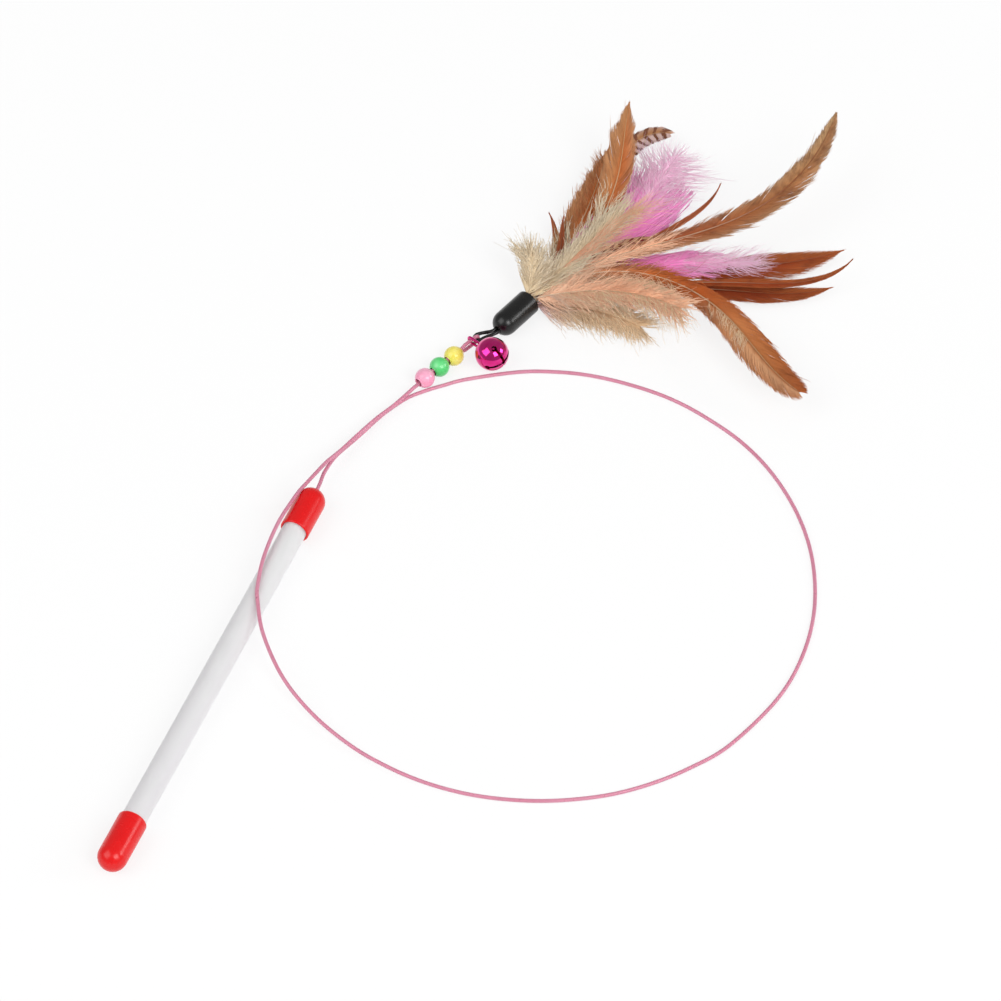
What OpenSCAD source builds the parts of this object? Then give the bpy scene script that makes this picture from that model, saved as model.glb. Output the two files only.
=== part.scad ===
// Cat teaser wand: a capped tube handle, a coiled spring wire, beads, a bell and a feather lure.
// The handle lies along Y with its origin on its axis, at the middle of the rear cap's straight wall.
// The whole toy lies on a floor that touches the underside of the handle's caps.

/* [Handle] */
// Length of the handle from dome to dome
handle_len = 170; // [120:1:260]
// Outside diameter of the tube
tube_d = 8.3; // [7:0.1:11]
// Wall of the tube
tube_wall = 0.9; // [0.6:0.1:1.4]

/* [Handle caps] */
// Wall of the soft red caps
cap_wall = 0.85; // [0.6:0.05:1]
// Overall length of the rear cap
rear_cap_len = 20.6; // [16:0.1:26]
// Overall length of the front cap
front_cap_len = 18.6; // [15:0.1:26]
// How much narrower the caps' bore is than the tube, in diameter
cap_squeeze = 0.1; // [0.04:0.02:0.2]

/* [Wire] */
// Diameter of the coated wire
wire_d = 1.3; // [1:0.05:1.4]
// Clearance round the wire where it passes through a cap or a crimp, on each side
wire_fit = 0.05; // [0.03:0.01:0.1]
// Outside diameter of the crimp that stops the wire inside the front cap
stop_d = 2.8; // [2.4:0.1:3.4]
// Length of that crimp
stop_len = 5; // [3:0.5:8]
// Length of wire that shows behind the crimp
wire_tail_len = 1.5; // [0.5:0.5:3]

/* [Beads and eye] */
// Diameter of a bead
bead_d = 6.8; // [6:0.1:8]
// Gap between neighbouring beads
bead_gap = 0.15; // [0.1:0.05:0.3]
// Width of the flat ring at each end of a bead's bore
bead_flat = 0.2; // [0.1:0.05:0.3]
// Clearance between the doubled wire and a bead's bore, on each side
bead_fit = 0.05; // [0.03:0.01:0.1]
// Gap between the two strands of wire inside the beads
strand_gap = 0.1; // [0.05:0.05:0.2]
// Distance from the last bead's face to the middle of the eye's round end
eye_reach = 6.9; // [5.5:0.1:10]
// Length over which the strands spread behind the last bead
eye_flare_len = 1.8; // [1.5:0.1:2.4]

/* [Lure cord] */
// Diameter of the black cord
cord_d = 1.3; // [1:0.05:1.4]
// Clearance between the cord and the wire's eye
cord_fit = 0.05; // [0.03:0.01:0.1]
// Distance from the eye to the tip of the black cap
cord_reach = 8.2; // [7.5:0.1:12]
// Gap between the cord's two strands inside the cap's hole
cord_strand_gap = 0.14; // [0.1:0.02:0.2]
// Diameter of the knot inside the black cap
knot_d = 4.4; // [4:0.1:5]

/* [Lure cap] */
// Outside diameter of the black cap
lure_cap_d = 8.8; // [8.4:0.1:10]
// Wall of the black cap
lure_cap_wall = 0.8; // [0.6:0.05:0.9]
// Overall length of the black cap
lure_cap_len = 17; // [15:0.5:22]
// Length of the glue plug that holds the quills
plug_len = 8.5; // [6:0.5:10]

/* [Bell] */
// Diameter of the bell
bell_d = 11.6; // [10.6:0.1:12]
// Sheet thickness of the bell's two shells
bell_wall = 0.4; // [0.3:0.05:0.5]
// Distance from the bell's middle to the wire that its shank hangs on
bell_reach = 10; // [9.4:0.1:11]
// Wire diameter of the shank
shank_d = 0.9; // [0.7:0.05:1]
// Clearance between the shank and the wire that it hangs on
shank_fit = 0.1; // [0.05:0.01:0.15]
// Distance from the middle of the eye back to the shank
shank_back = 2; // [1.8:0.1:2.4]
// Width of the bell's slots
slot_w = 1; // [0.6:0.1:1.4]
// Diameter of the round end of each slot
slot_end_d = 2; // [1.6:0.1:2.4]
// Diameter of the pellet inside the bell
pellet_d = 3.2; // [2.8:0.1:3.6]
// Gap between the pellet and the shell
pellet_gap = 0.15; // [0.1:0.05:0.3]

/* [Feather lengths] */
// Length of the front tan feather, from the cap's mouth
tan_front_len = 88; // [60:1:120]
// Length of the tan feather behind it
tan_back_len = 71; // [50:1:100]
// Length of the left sliver
sliver_left_len = 41; // [25:1:60]
// Length of the sliver beside it
sliver_mid_len = 38; // [25:1:60]
// Length of the barred feather with a curled tip
barred_len = 97; // [70:1:120]
// Length of the short barred feather
barred_short_len = 49; // [30:1:60]
// Length of the upper pink plume
pink_upper_len = 82; // [60:1:110]
// Length of the sliver over the pink plume
sliver_pink_len = 81; // [60:1:110]
// Length of the longest feather
long_len = 134; // [100:1:170]
// Length of the lower pink plume
pink_lower_len = 82; // [60:1:110]
// Length of the upper rust feather
rust_upper_len = 111; // [80:1:140]
// Length of the thin curved rust feather
rust_curved_len = 114; // [80:1:140]
// Length of the lower rust feather
rust_lower_len = 104; // [80:1:140]
// Length of the broad feather
broad_len = 121; // [90:1:150]
// Length of the upper down tuft
down_upper_len = 44; // [30:1:60]
// Length of the left down tuft
down_left_len = 14; // [12:1:24]
// Length of the lower down tuft
down_lower_len = 40; // [30:1:60]
// Length of the peach down tuft
down_peach_len = 57; // [40:1:80]

/* [Feather widths] */
// Width of the front tan feather
tan_front_w = 13; // [8:0.5:18]
// Width of the tan feather behind it
tan_back_w = 14; // [8:0.5:18]
// Width of a sliver
sliver_w = 2.4; // [1.5:0.1:4]
// Width of the barred feather
barred_w = 8; // [5:0.5:12]
// Width of the short barred feather
barred_short_w = 4; // [3:0.5:7]
// Width of the upper pink plume
pink_upper_w = 28; // [20:0.5:32]
// Width of the longest feather
long_w = 10; // [7:0.5:14]
// Width of the lower pink plume
pink_lower_w = 17; // [12:0.5:22]
// Width of the upper rust feather
rust_upper_w = 11.5; // [8:0.5:15]
// Width of the thin curved rust feather
rust_curved_w = 4; // [3:0.5:6]
// Width of the lower rust feather
rust_lower_w = 9; // [5:0.5:12]
// Width of the broad feather
broad_w = 13.5; // [10:0.5:16]
// Width of the upper down tuft
down_upper_w = 18; // [12:0.5:22]
// Width of the left down tuft
down_left_w = 9; // [7:0.5:13]
// Width of the lower down tuft
down_lower_w = 13; // [8:0.5:18]
// Width of the peach down tuft
down_peach_w = 16; // [10:0.5:20]

/* [Quills] */
// Diameter of a quill at its butt
quill_d = 1; // [0.8:0.05:1.05]
// Distance between neighbouring quills in the cap's mouth
quill_pitch = 1.25; // [1.2:0.01:1.3]
// Thickness of a feather's vane beside its shaft
vane_thick = 0.7; // [0.5:0.05:0.9]
// Thickness of a pink plume in its middle
plume_thick = 3.8; // [2.6:0.1:4.2]
// Thickness of a tuft of down in its middle
down_thick = 2; // [1.4:0.1:2.4]

/* [Hidden] */
$fn = 48;

// One overrun for every cut that has to pass right through
cut = 1;

// Handle
cap_r = tube_d / 2 + cap_wall;
cap_bore_r = (tube_d - cap_squeeze) / 2;
floor_z = -cap_r;
rear_dome_y = -(rear_cap_len - cap_r) / 2;
tip_y = handle_len + rear_dome_y - cap_r;
front_dome_y = tip_y - cap_r;
wire_r = wire_d / 2;
wire_hole_r = wire_r + wire_fit;
stop_front_y = front_dome_y + sqrt(pow(cap_bore_r, 2) - pow(stop_d / 2, 2)) - wire_fit;
stop_rear_y = stop_front_y - stop_len;

// Beads, in line from the end of the free wire
line_turn = 22.5;
strand_off = (wire_d + strand_gap) / 2;
bead_bore_r = strand_off + wire_r + bead_fit;
bead_first = bead_d / 2 + bead_gap;
bead_pitch = bead_d + bead_gap;
bead_end = bead_first + 2 * bead_pitch + bead_d / 2;
eye_at = bead_end + eye_reach;
eye_r = wire_r + cord_d / 2 + cord_fit;
wire_bend_r = wire_r + wire_fit;
line_z = floor_z + bead_d / 2;

// Route of the free wire, from the front cap's tip: right, forward, height of its middle over the floor
wire_route = [
    [-0.3, 4, 4.9], [-0.9, 8, 4.6], [-1, 12.5, 4.1], [-0.7, 17.5, 3.4], [0.3, 22, 2.8], [1.8, 27.5, 2.1],
    [3.1, 32.6, 1.5], [4.4, 38, 1], [5.9, 43, 0.7], [8, 48, 0.65], [11, 53.5, 0.65], [15.5, 58.7, 0.65],
    [20, 63, 0.65], [26, 68.3, 0.65],
    [41, 78, 0.65], [53, 83, 0.65], [65, 86, 0.65], [79, 87.2, 0.65], [93, 86.6, 0.65], [107, 83.5, 0.65],
    [123, 77.5, 0.65], [138, 68, 0.65], [152, 54.5, 0.65], [163, 38.5, 0.65], [171, 19, 0.65],
    [174.3, -1, 0.65], [173, -21, 0.65], [165.5, -44.5, 0.65], [157, -58, 0.65], [148, -68.5, 0.65],
    [138, -77.3, 0.65], [127, -84.2, 0.65], [116, -89.4, 0.65], [104, -93.3, 0.65], [92, -95.6, 0.65],
    [79, -96.2, 0.65], [66, -95, 0.8], [52, -92, 1.3], [36, -85.8, 2.5], [21.5, -77.2, 5],
    [9.2, -65.2, 8.3], [2.2, -53.8, 9.8], [-0.1, -48.5, 10], [-2.7, -38.7, 10.1], [-4.1, -28.7, 10.1],
    [-4.6, -20, 10.1], [-4.3, -13, 10], [-3.8, -5.5, 9.5], [-3.2, -1, 8.8], [-2.7, 5, 7.2],
    [-1.7, 12, 6], [-0.2, 17.5, 5.2], [0.9, 21.5, 4.7], [2.2, 27, 4.1], [4.8, 36.7, 3.3],
    [6.5, 41.7, 2.9], [8.5, 46.7, 2.7], [10.5, 52.7, 2.7]];
wire_end = [12.3, 58.1];
wire_straight = wire_d;
wire_sides = 8;
ring_step = 9;

// Black cord and cap of the lure
lure_turn = 17.5;
cord_turn = 42.5;
cord_pull_share = 0.3;
cord_rings = 8;
cord_r = cord_d / 2;
cord_off = cord_r + cord_strand_gap / 2;
cord_hole_r = cord_off + cord_r + cord_fit;
lure_cap_r = lure_cap_d / 2;
lure_bore_r = lure_cap_r - lure_cap_wall;
lure_z = floor_z + lure_cap_r;
lure_straight = lure_cap_len - lure_cap_r;
knot_back = lure_bore_r - knot_d / 2 - cord_fit;
cord_inner = knot_back + knot_d / 2 + cord_fit;
plug_inset = 3 * lure_cap_wall;
plug_front = lure_straight - plug_len - plug_inset;

// Bell
bell_r = bell_d / 2;
bell_in_r = bell_r - bell_wall;
shank_r = shank_d / 2;
shank_turn_r = wire_r + shank_fit + shank_r;
shank_z = line_z + eye_r;
bell_rise = asin((floor_z + bell_r - shank_z) / bell_reach);
slot_arm = 62;
slot_turn = 12;
shank_foot_r = shank_r + bell_wall;
shank_foot_len = shank_r;
pellet_orbit_r = bell_in_r - pellet_gap - pellet_d / 2;

// Quills stand in five rows in the cap's mouth
quill_r = quill_d / 2;
quill_row = 0.88 * quill_pitch;
quill_fit = 0.03 * quill_d;
butt_start = plug_front + quill_d;

// Directions, with turn counted from +Y towards +X and rise from the floor
function heading(turn, rise = 0) = [sin(turn) * cos(rise), cos(turn) * cos(rise), sin(rise)];
function unit(v) = v / norm(v);
function lift(p, z) = [p.x, p.y, z];

line_start = [wire_end.x, tip_y + wire_end.y, line_z];
line_dir = heading(line_turn);
line_side = heading(line_turn + 90);
eye_point = line_start + eye_at * line_dir;
lure_dir = heading(lure_turn);
lure_side = heading(lure_turn + 90);
lure_tip = lift(eye_point + cord_reach * heading(cord_turn), lure_z);
lure_dome = lure_tip + lure_cap_r * lure_dir;
lure_mouth = lure_dome + lure_straight * lure_dir;

// Catmull-Rom curve through points, cut into pieces about as long as step
function spline_at(a, b, c, d, t) =
    0.5 * (2 * b + (c - a) * t + (2 * a - 5 * b + 4 * c - d) * pow(t, 2)
    + (3 * b - a - 3 * c + d) * pow(t, 3));
function spline(points, step) = let (last = len(points) - 1) concat(
    [for (i = [0:last - 1])
        let (a = points[max(i - 1, 0)], b = points[i], c = points[i + 1], d = points[min(i + 2, last)],
            pieces = max(1, round(norm(c - b) / step)))
        for (k = [0:pieces - 1]) spline_at(a, b, c, d, k / pieces)],
    [points[last]]);
function bezier_at(a, b, c, d, t) =
    pow(1 - t, 3) * a + 3 * t * pow(1 - t, 2) * b + 3 * pow(t, 2) * (1 - t) * c + pow(t, 3) * d;

// A closed skin over rings of points, every ring with the same count
function skin_faces(rings, sides) = concat(
    [[for (k = [sides - 1:-1:0]) k]],
    [for (i = [0:rings - 2], k = [0:sides - 1]) let (a = i * sides, b = a + sides, n = (k + 1) % sides)
        [a + k, a + n, b + n]],
    [for (i = [0:rings - 2], k = [0:sides - 1]) let (a = i * sides, b = a + sides, n = (k + 1) % sides)
        [a + k, b + n, b + k]],
    [[for (k = [0:sides - 1]) (rings - 1) * sides + k]]);
function tangent(path, i) = unit(path[min(i + 1, len(path) - 1)] - path[max(i - 1, 0)]);
function level_side(t) = unit(cross(t, [0, 0, 1]));

// A round tube of the given sides swept along a path that never stands upright
module swept_tube(path, r, sides) {
    points = [for (i = [0:len(path) - 1]) let (t = tangent(path, i), s = level_side(t), n = cross(s, t))
        for (k = [0:sides - 1]) path[i] + r * (cos(360 * k / sides) * s + sin(360 * k / sides) * n)];
    polyhedron(points, skin_faces(len(path), sides));
}

// Frames that pieces are drawn in: X to the right, Y forward, Z up
module on_handle(y) { translate([0, y, 0]) children(); }
module on_line(along) {
    translate(line_start) rotate([0, 0, -line_turn]) translate([0, along, 0]) children();
}
module on_lure(along) {
    translate(lure_dome) rotate([0, 0, -lure_turn]) translate([0, along, 0]) children();
}
module on_bell() {
    on_line(eye_at - shank_back) translate([0, 0, eye_r]) rotate([0, -bell_rise, 0]) children();
}

// Half outline of a domed cap, its mouth at 0 and its dome's end at len
module cap_outline(length, r, wall, hole_r) {
    difference() {
        union() {
            translate([0, wall / 2]) square([r, length - r - wall / 2]);
            translate([r - wall / 2, wall / 2]) circle(d = wall);
            translate([0, length - r]) intersection() {
                circle(r = r);
                square(r);
            }
        }
        translate([0, -cut]) square([r - wall, length - r + cut]);
        translate([0, length - r]) circle(r = r - wall);
        translate([-r, 0]) square([r, length]);
        if (hole_r > 0) square([hole_r, length + cut]);
    }
}

module domed_cap(length, r, wall, hole_r) {
    rotate([-90, 0, 0]) rotate_extrude() cap_outline(length, r, wall, hole_r);
}

module handle_tube() {
    color("whitesmoke") on_handle(rear_dome_y) rotate([-90, 0, 0]) difference() {
        cylinder(d = tube_d, h = front_dome_y - rear_dome_y);
        translate([0, 0, -cut])
            cylinder(d = tube_d - 2 * tube_wall, h = front_dome_y - rear_dome_y + 2 * cut);
    }
}

module rear_cap() {
    color("red") on_handle(rear_dome_y + rear_cap_len - cap_r) rotate([0, 0, 180])
        domed_cap(rear_cap_len, cap_r, cap_r - cap_bore_r, 0);
}

module front_cap() {
    color("red") on_handle(tip_y - front_cap_len)
        domed_cap(front_cap_len, cap_r, cap_r - cap_bore_r, wire_hole_r);
}

module wire_stop() {
    color("goldenrod") on_handle(stop_rear_y) rotate([-90, 0, 0]) difference() {
        cylinder(d = stop_d, h = stop_len);
        translate([0, 0, -cut]) cylinder(r = wire_hole_r, h = stop_len + 2 * cut);
    }
}

// The free wire, from its tail behind the crimp to the first bead
wire_stop_point = [wire_end.x, tip_y + wire_end.y, line_z - strand_off];
wire_free = spline(concat([for (p = wire_route) [p.x, tip_y + p.y, floor_z + p.z]],
    [wire_stop_point - wire_straight * line_dir]), ring_step);
wire_path = concat([[0, stop_rear_y - wire_tail_len, 0], [0, tip_y, 0]], wire_free, [wire_stop_point]);

function path_len(p, i = 1) = i >= len(p) ? 0 : norm(p[i] - p[i - 1]) + path_len(p, i + 1);
function least_gap(p, skip) = min([for (i = [0:len(p) - 1], j = [i + skip:1:len(p) - 1]) norm(p[i] - p[j])]);

module wire() {
    echo(wire_length = path_len(wire_path), wire_rings = len(wire_path));
    echo(wire_gap_to_itself = least_gap(spline(wire_path, wire_d), ceil(2 * ring_step / wire_d)) - wire_d);
    color("palevioletred") swept_tube(wire_path, wire_r, wire_sides);
}

// The wire doubled back through the beads, spread behind them and bent round the eye
module strand(side) {
    start = side < 0 ? 0 : bead_first;
    spread_at = bead_end + 2 * bead_gap;
    spread_end = spread_at + eye_flare_len;
    rise = side * (eye_r - strand_off);
    translate([0, start, side * strand_off]) rotate([-90, 0, 0]) cylinder(r = wire_r, h = spread_at - start);
    translate([0, spread_at, side * strand_off]) {
        sphere(r = wire_bend_r);
        rotate([atan(rise / eye_flare_len) - 90, 0, 0])
            cylinder(r = wire_r, h = norm([rise, eye_flare_len]));
    }
    translate([0, spread_end, side * eye_r]) {
        sphere(r = wire_bend_r);
        rotate([-90, 0, 0]) cylinder(r = wire_r, h = eye_at - spread_end);
    }
}

module wire_eye() {
    color("palevioletred") on_line(0) {
        for (side = [-1, 1]) strand(side);
        translate([0, eye_at, 0]) rotate([90, 0, 90]) rotate([0, 0, -90])
            rotate_extrude(angle = 180) translate([eye_r, 0]) circle(r = wire_r);
    }
}

module bead(place) {
    on_line(bead_first + place * bead_pitch) rotate([-90, 0, 0]) difference() {
        intersection() {
            sphere(d = bead_d);
            cylinder(r = bead_d, h = 2 * sqrt(pow(bead_d / 2, 2) - pow(bead_bore_r + bead_flat, 2)),
                center = true);
        }
        cylinder(r = bead_bore_r, h = bead_d + 2 * cut, center = true);
    }
}
module bead_pink() { color("pink") bead(0); }
module bead_green() { color("mediumseagreen") bead(1); }
module bead_yellow() { color("khaki") bead(2); }

// Bell pieces are drawn with X from the hanging wire through the shank to the slotted pole
module half_shell(side) {
    translate([bell_reach, 0, 0]) difference() {
        sphere(r = bell_r);
        sphere(r = bell_in_r);
        translate([side > 0 ? -2 * bell_r : 0, -bell_r, -bell_r]) cube(2 * bell_r);
    }
}

module slot() {
    translate([bell_r * cos(slot_arm), -slot_w / 2, -bell_r * sin(slot_arm)])
        cube([bell_r, slot_w, 2 * bell_r * sin(slot_arm)]);
    for (side = [-1, 1])
        rotate([0, 90 + side * slot_arm, 0]) cylinder(d = slot_end_d, h = bell_r + cut);
}

module bell_top() {
    color("mediumvioletred") on_bell() difference() {
        half_shell(-1);
        for (side = [-1, 1])
            translate([0, 0, side * shank_turn_r]) rotate([0, 90, 0])
                cylinder(r = shank_r + quill_fit, h = bell_reach);
    }
}

module bell_bottom() {
    color("mediumvioletred") on_bell() difference() {
        half_shell(1);
        for (turn = [0, 90])
            translate([bell_reach, 0, 0]) rotate([slot_turn + turn, 0, 0]) slot();
    }
}

module bell_shank() {
    foot_x = bell_reach - sqrt(pow(bell_in_r, 2) - pow(shank_turn_r + shank_foot_r, 2)) + quill_fit;
    color("purple") on_bell() {
        rotate([90, 0, 0]) rotate([0, 0, 90]) rotate_extrude(angle = 180)
            translate([shank_turn_r, 0]) circle(r = shank_r);
        for (side = [-1, 1])
            translate([0, 0, side * shank_turn_r]) rotate([0, 90, 0]) {
                cylinder(r = shank_r, h = foot_x + shank_foot_len);
                translate([0, 0, foot_x]) cylinder(r = shank_foot_r, h = shank_foot_len);
            }
    }
}

module bell_pellet() {
    color("silver") on_bell() translate([bell_reach, 0, -pellet_orbit_r]) sphere(d = pellet_d);
}

// The cord goes round the wire in the eye, and its two strands run to the black cap's hole
cord_bend = eye_point + eye_r * line_dir;
cord_pull = cord_pull_share * cord_reach;
function cord_half(side) = let (
    from = cord_bend + side * eye_r * line_side,
    to = lure_tip + side * cord_off * lure_side)
    [for (i = [0:cord_rings]) bezier_at(from, from + cord_pull * line_dir,
        to - cord_pull * lure_dir, to, i / cord_rings)];
cord_turn_points = [for (i = [1:cord_rings - 1]) let (turn = 180 * i / cord_rings)
    cord_bend - eye_r * (cos(turn) * line_side + sin(turn) * line_dir)];
cord_path = let (
    inside = lure_tip + (lure_cap_r - cord_inner) * lure_dir,
    left = cord_half(-1))
    concat([inside - cord_off * lure_side], [for (i = [cord_rings:-1:0]) left[i]],
        cord_turn_points, cord_half(1), [inside + cord_off * lure_side]);

module lure_cord() {
    color("black") swept_tube(cord_path, cord_r, wire_sides);
}

module cord_knot() {
    color("black") on_lure(-knot_back) sphere(d = knot_d);
}

module lure_cap() {
    color("black") on_lure(lure_straight) rotate([0, 0, 180])
        domed_cap(lure_cap_len, lure_cap_r, lure_cap_wall, cord_hole_r);
}

// Places of the quills in the mouth, in pitches to the right and rows up
quill_slots = [
    for (row = [-2:2]) for (i = [0:4 - abs(row)]) [i - (4 - abs(row)) / 2, row]];
function quill_place(slot) = [slot.x * quill_pitch, slot.y * quill_row];

module glue_plug() {
    color("wheat") on_lure(plug_front) rotate([-90, 0, 0]) difference() {
        cylinder(r = lure_bore_r - quill_fit, h = plug_len);
        for (slot = quill_slots)
            translate([quill_place(slot).x, -quill_place(slot).y, quill_d])
                cylinder(r = quill_r + quill_fit, h = plug_len);
    }
}

// A feather's shaft runs straight in its slot, and then turns as its run says:
// start, turn over the length, turn that grows with it, turn of the tip, rise and droop.
// Its vane is a list of shares: bare quill, widest place, bluntness and depth of its notches.
feather_rings = 26;
tip_share = 0.65;
quill_tip_share = 0.3;
edge_thick_share = 0.7;
ridge_share = 0.2;
inner_share = 0.33;
cup_share = 0.05;
function run_turn(run, t) =
    lure_turn - (run[0] + run[1] * t + run[2] * pow(t, 2)
    + run[3] * pow(max(t - tip_share, 0) / (1 - tip_share), 2));
function run_dir(run, t) = heading(run_turn(run, t), run[4] + 2 * run[5] * t);
function shaft(start, length, run) = [for (k = 0, p = start; k <= feather_rings;
    p = p + length / feather_rings * run_dir(run, (k + 0.5) / feather_rings), k = k + 1) p];
function vane_share(vane, t) = t <= vane[0] ? 0 : let (
    along = min((t - vane[0]) / (1 - vane[0]), 0.999),
    skew = ln(0.5) / ln(vane[1]))
    pow(sin(180 * pow(along, skew)), vane[2]);

// One half of a section, from its edge to its ridge, in widths and heights
function feather_ring(t, width, thick, vane, notch) = let (
    q = quill_r * (1 - (1 - quill_tip_share) * t),
    share = vane_share(vane, t),
    w = q + width / 2 * share * (1 - notch),
    inner = max(edge_thick_share * q, inner_share * w),
    v = max(edge_thick_share * q, thick / 2 * share),
    ridge = max(q, v + ridge_share * q),
    edge = -cup_share * w)
    [[w, edge], [inner, v], [0, ridge], [-inner, v], [-w, edge], [-inner, -v], [0, -ridge], [inner, -v]];

module feather(length, width, thick, slot, run, vane) {
    place = quill_place(slot);
    start = lure_mouth + place.x * lure_side + [0, 0, place.y];
    butt = start + (butt_start - lure_straight) * lure_dir;
    path = concat([butt], shaft(start, length, run));
    last = len(path) - 1;
    points = [for (i = [0:last]) let (
        d = tangent(path, i),
        s = level_side(d),
        n = cross(s, d),
        ring = feather_ring(max(i - 1, 0) / feather_rings, width, thick, vane, i % 3 == 2 ? vane[3] : 0))
        for (c = ring) path[i] + c.x * s + c.y * n];
    polyhedron(points, skin_faces(last + 1, len(feather_ring(0, width, thick, vane, 0))));
}

module feather_tan_front() {
    color("peru") feather(tan_front_len, tan_front_w, vane_thick, [-0.5, 1],
        [-11.5, 44, 21.5, -25, 9, 2], [0.3, 0.45, 0.9, 0.12]);
}
module feather_tan_back() {
    color("chocolate") feather(tan_back_len, tan_back_w, vane_thick, [-0.5, -1],
        [4, 29, -7, 0, 4, 2], [0.3, 0.5, 0.8, 0.12]);
}
module feather_sliver_left() {
    color("sienna") feather(sliver_left_len, sliver_w, vane_thick, [-1.5, -1],
        [0.5, 35, 28, -3, 3, 0], [0.4, 0.5, 1, 0]);
}
module feather_sliver_mid() {
    color("sienna") feather(sliver_mid_len, sliver_w, vane_thick, [-2, 0],
        [-9, 40, 29, -27, 5, 0], [0.4, 0.5, 1, 0]);
}
module feather_barred() {
    color("tan") feather(barred_len, barred_w, vane_thick, [-1, -2],
        [-11, 74, -23, -118, 1, 2], [0.35, 0.8, 0.6, 0.05]);
}
module feather_barred_short() {
    color("rosybrown") feather(barred_short_len, barred_short_w, vane_thick, [-1, 0],
        [-10, -22, 0, -20, 9, 0], [0.3, 0.6, 0.8, 0.1]);
}
module plume_pink_upper() {
    color("hotpink") feather(pink_upper_len, pink_upper_w, plume_thick, [0, 0],
        [-8, -25, 72, -35, 5, 1], [0.25, 0.6, 0.5, 0.15]);
}
module feather_sliver_pink() {
    color("sienna") feather(sliver_pink_len, sliver_w, vane_thick, [1, 0],
        [-21, 6, -5.5, 41, 7, 0], [0.5, 0.5, 1, 0]);
}
module feather_long() {
    color("sienna") feather(long_len, long_w, vane_thick, [0.5, 1],
        [-5, -179, 245, -38, 9, 0], [0.25, 0.5, 0.7, 0.12]);
}
module plume_pink_lower() {
    color("hotpink") feather(pink_lower_len, pink_lower_w, plume_thick, [2, 0],
        [-28, 22, -83, 41, 4, 0], [0.3, 0.55, 0.6, 0.15]);
}
module feather_rust_upper() {
    color("saddlebrown") feather(rust_upper_len, rust_upper_w, vane_thick, [0, -2],
        [-26, -49, 33, 15, 1, 0], [0.4, 0.66, 0.9, 0.1]);
}
module feather_rust_curved() {
    color("saddlebrown") feather(rust_curved_len, rust_curved_w, vane_thick, [0.5, -1],
        [-31.5, -50, 22, 63, 2.5, 0], [0.45, 0.5, 1, 0.1]);
}
module feather_rust_lower() {
    color("saddlebrown") feather(rust_lower_len, rust_lower_w, vane_thick, [1, -2],
        [-29.5, -50, 14, 37, 0.5, 0], [0.35, 0.6, 0.9, 0.1]);
}
module feather_broad() {
    color("peru") feather(broad_len, broad_w, vane_thick, [1.5, 1],
        [-2.5, -226, 105, 37, 8, -5], [0.3, 0.62, 0.5, 0.12]);
}
module down_upper() {
    color("wheat") feather(down_upper_len, down_upper_w, down_thick, [0, 2],
        [-13.5, 28, -26, -10, 15, 0], [0.1, 0.5, 0.5, 0.15]);
}
module down_left() {
    color("wheat") feather(down_left_len, down_left_w, down_thick, [-1, 2],
        [4, 53, 9, 28, 34, 0], [0.1, 0.55, 0.5, 0.15]);
}
module down_lower() {
    color("burlywood") feather(down_lower_len, down_lower_w, down_thick, [1.5, -1],
        [-40, -70, 30, 0, 0, 0], [0.15, 0.5, 0.5, 0.15]);
}
module down_peach() {
    color("lightsalmon") feather(down_peach_len, down_peach_w, down_thick, [1, 2],
        [-47, -28, -20, 8, 17, -5], [0.2, 0.6, 0.5, 0.15]);
}

handle_tube();
rear_cap();
front_cap();
wire_stop();
wire();
wire_eye();
bead_pink();
bead_green();
bead_yellow();
bell_top();
bell_bottom();
bell_shank();
bell_pellet();
lure_cord();
cord_knot();
lure_cap();
glue_plug();
feather_tan_front();
feather_tan_back();
feather_sliver_left();
feather_sliver_mid();
feather_barred();
feather_barred_short();
plume_pink_upper();
feather_sliver_pink();
feather_long();
plume_pink_lower();
feather_rust_upper();
feather_rust_curved();
feather_rust_lower();
feather_broad();
down_upper();
down_left();
down_lower();
down_peach();
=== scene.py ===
import math

import bmesh
import bpy
import numpy as np
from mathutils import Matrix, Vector


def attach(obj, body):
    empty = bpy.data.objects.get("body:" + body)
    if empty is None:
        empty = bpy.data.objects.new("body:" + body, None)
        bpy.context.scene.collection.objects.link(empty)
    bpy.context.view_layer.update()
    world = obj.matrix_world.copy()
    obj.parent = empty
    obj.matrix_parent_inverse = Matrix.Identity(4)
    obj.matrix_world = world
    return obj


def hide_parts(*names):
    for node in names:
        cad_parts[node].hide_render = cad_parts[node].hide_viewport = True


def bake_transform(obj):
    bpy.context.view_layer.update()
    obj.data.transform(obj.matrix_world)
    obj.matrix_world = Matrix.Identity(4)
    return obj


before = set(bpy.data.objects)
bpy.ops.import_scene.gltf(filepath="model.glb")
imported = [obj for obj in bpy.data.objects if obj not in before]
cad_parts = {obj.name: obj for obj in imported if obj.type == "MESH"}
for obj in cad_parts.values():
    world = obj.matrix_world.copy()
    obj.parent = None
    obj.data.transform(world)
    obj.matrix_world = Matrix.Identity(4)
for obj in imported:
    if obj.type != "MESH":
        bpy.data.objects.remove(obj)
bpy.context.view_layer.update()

# Everything below is worked out in millimetres and turned into metres where a mesh is made.
MM = 0.001


# Frame of the part, in mm

def heading(turn, rise=0.0):
    """Unit vector, turn in degrees from +Y towards +X, rise from the floor."""
    a, e = math.radians(turn), math.radians(rise)
    return np.array([math.sin(a) * math.cos(e), math.cos(a) * math.cos(e), math.sin(e)])


def unit(v):
    return v / np.maximum(np.linalg.norm(v, axis=-1, keepdims=True), 1e-12)


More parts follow.
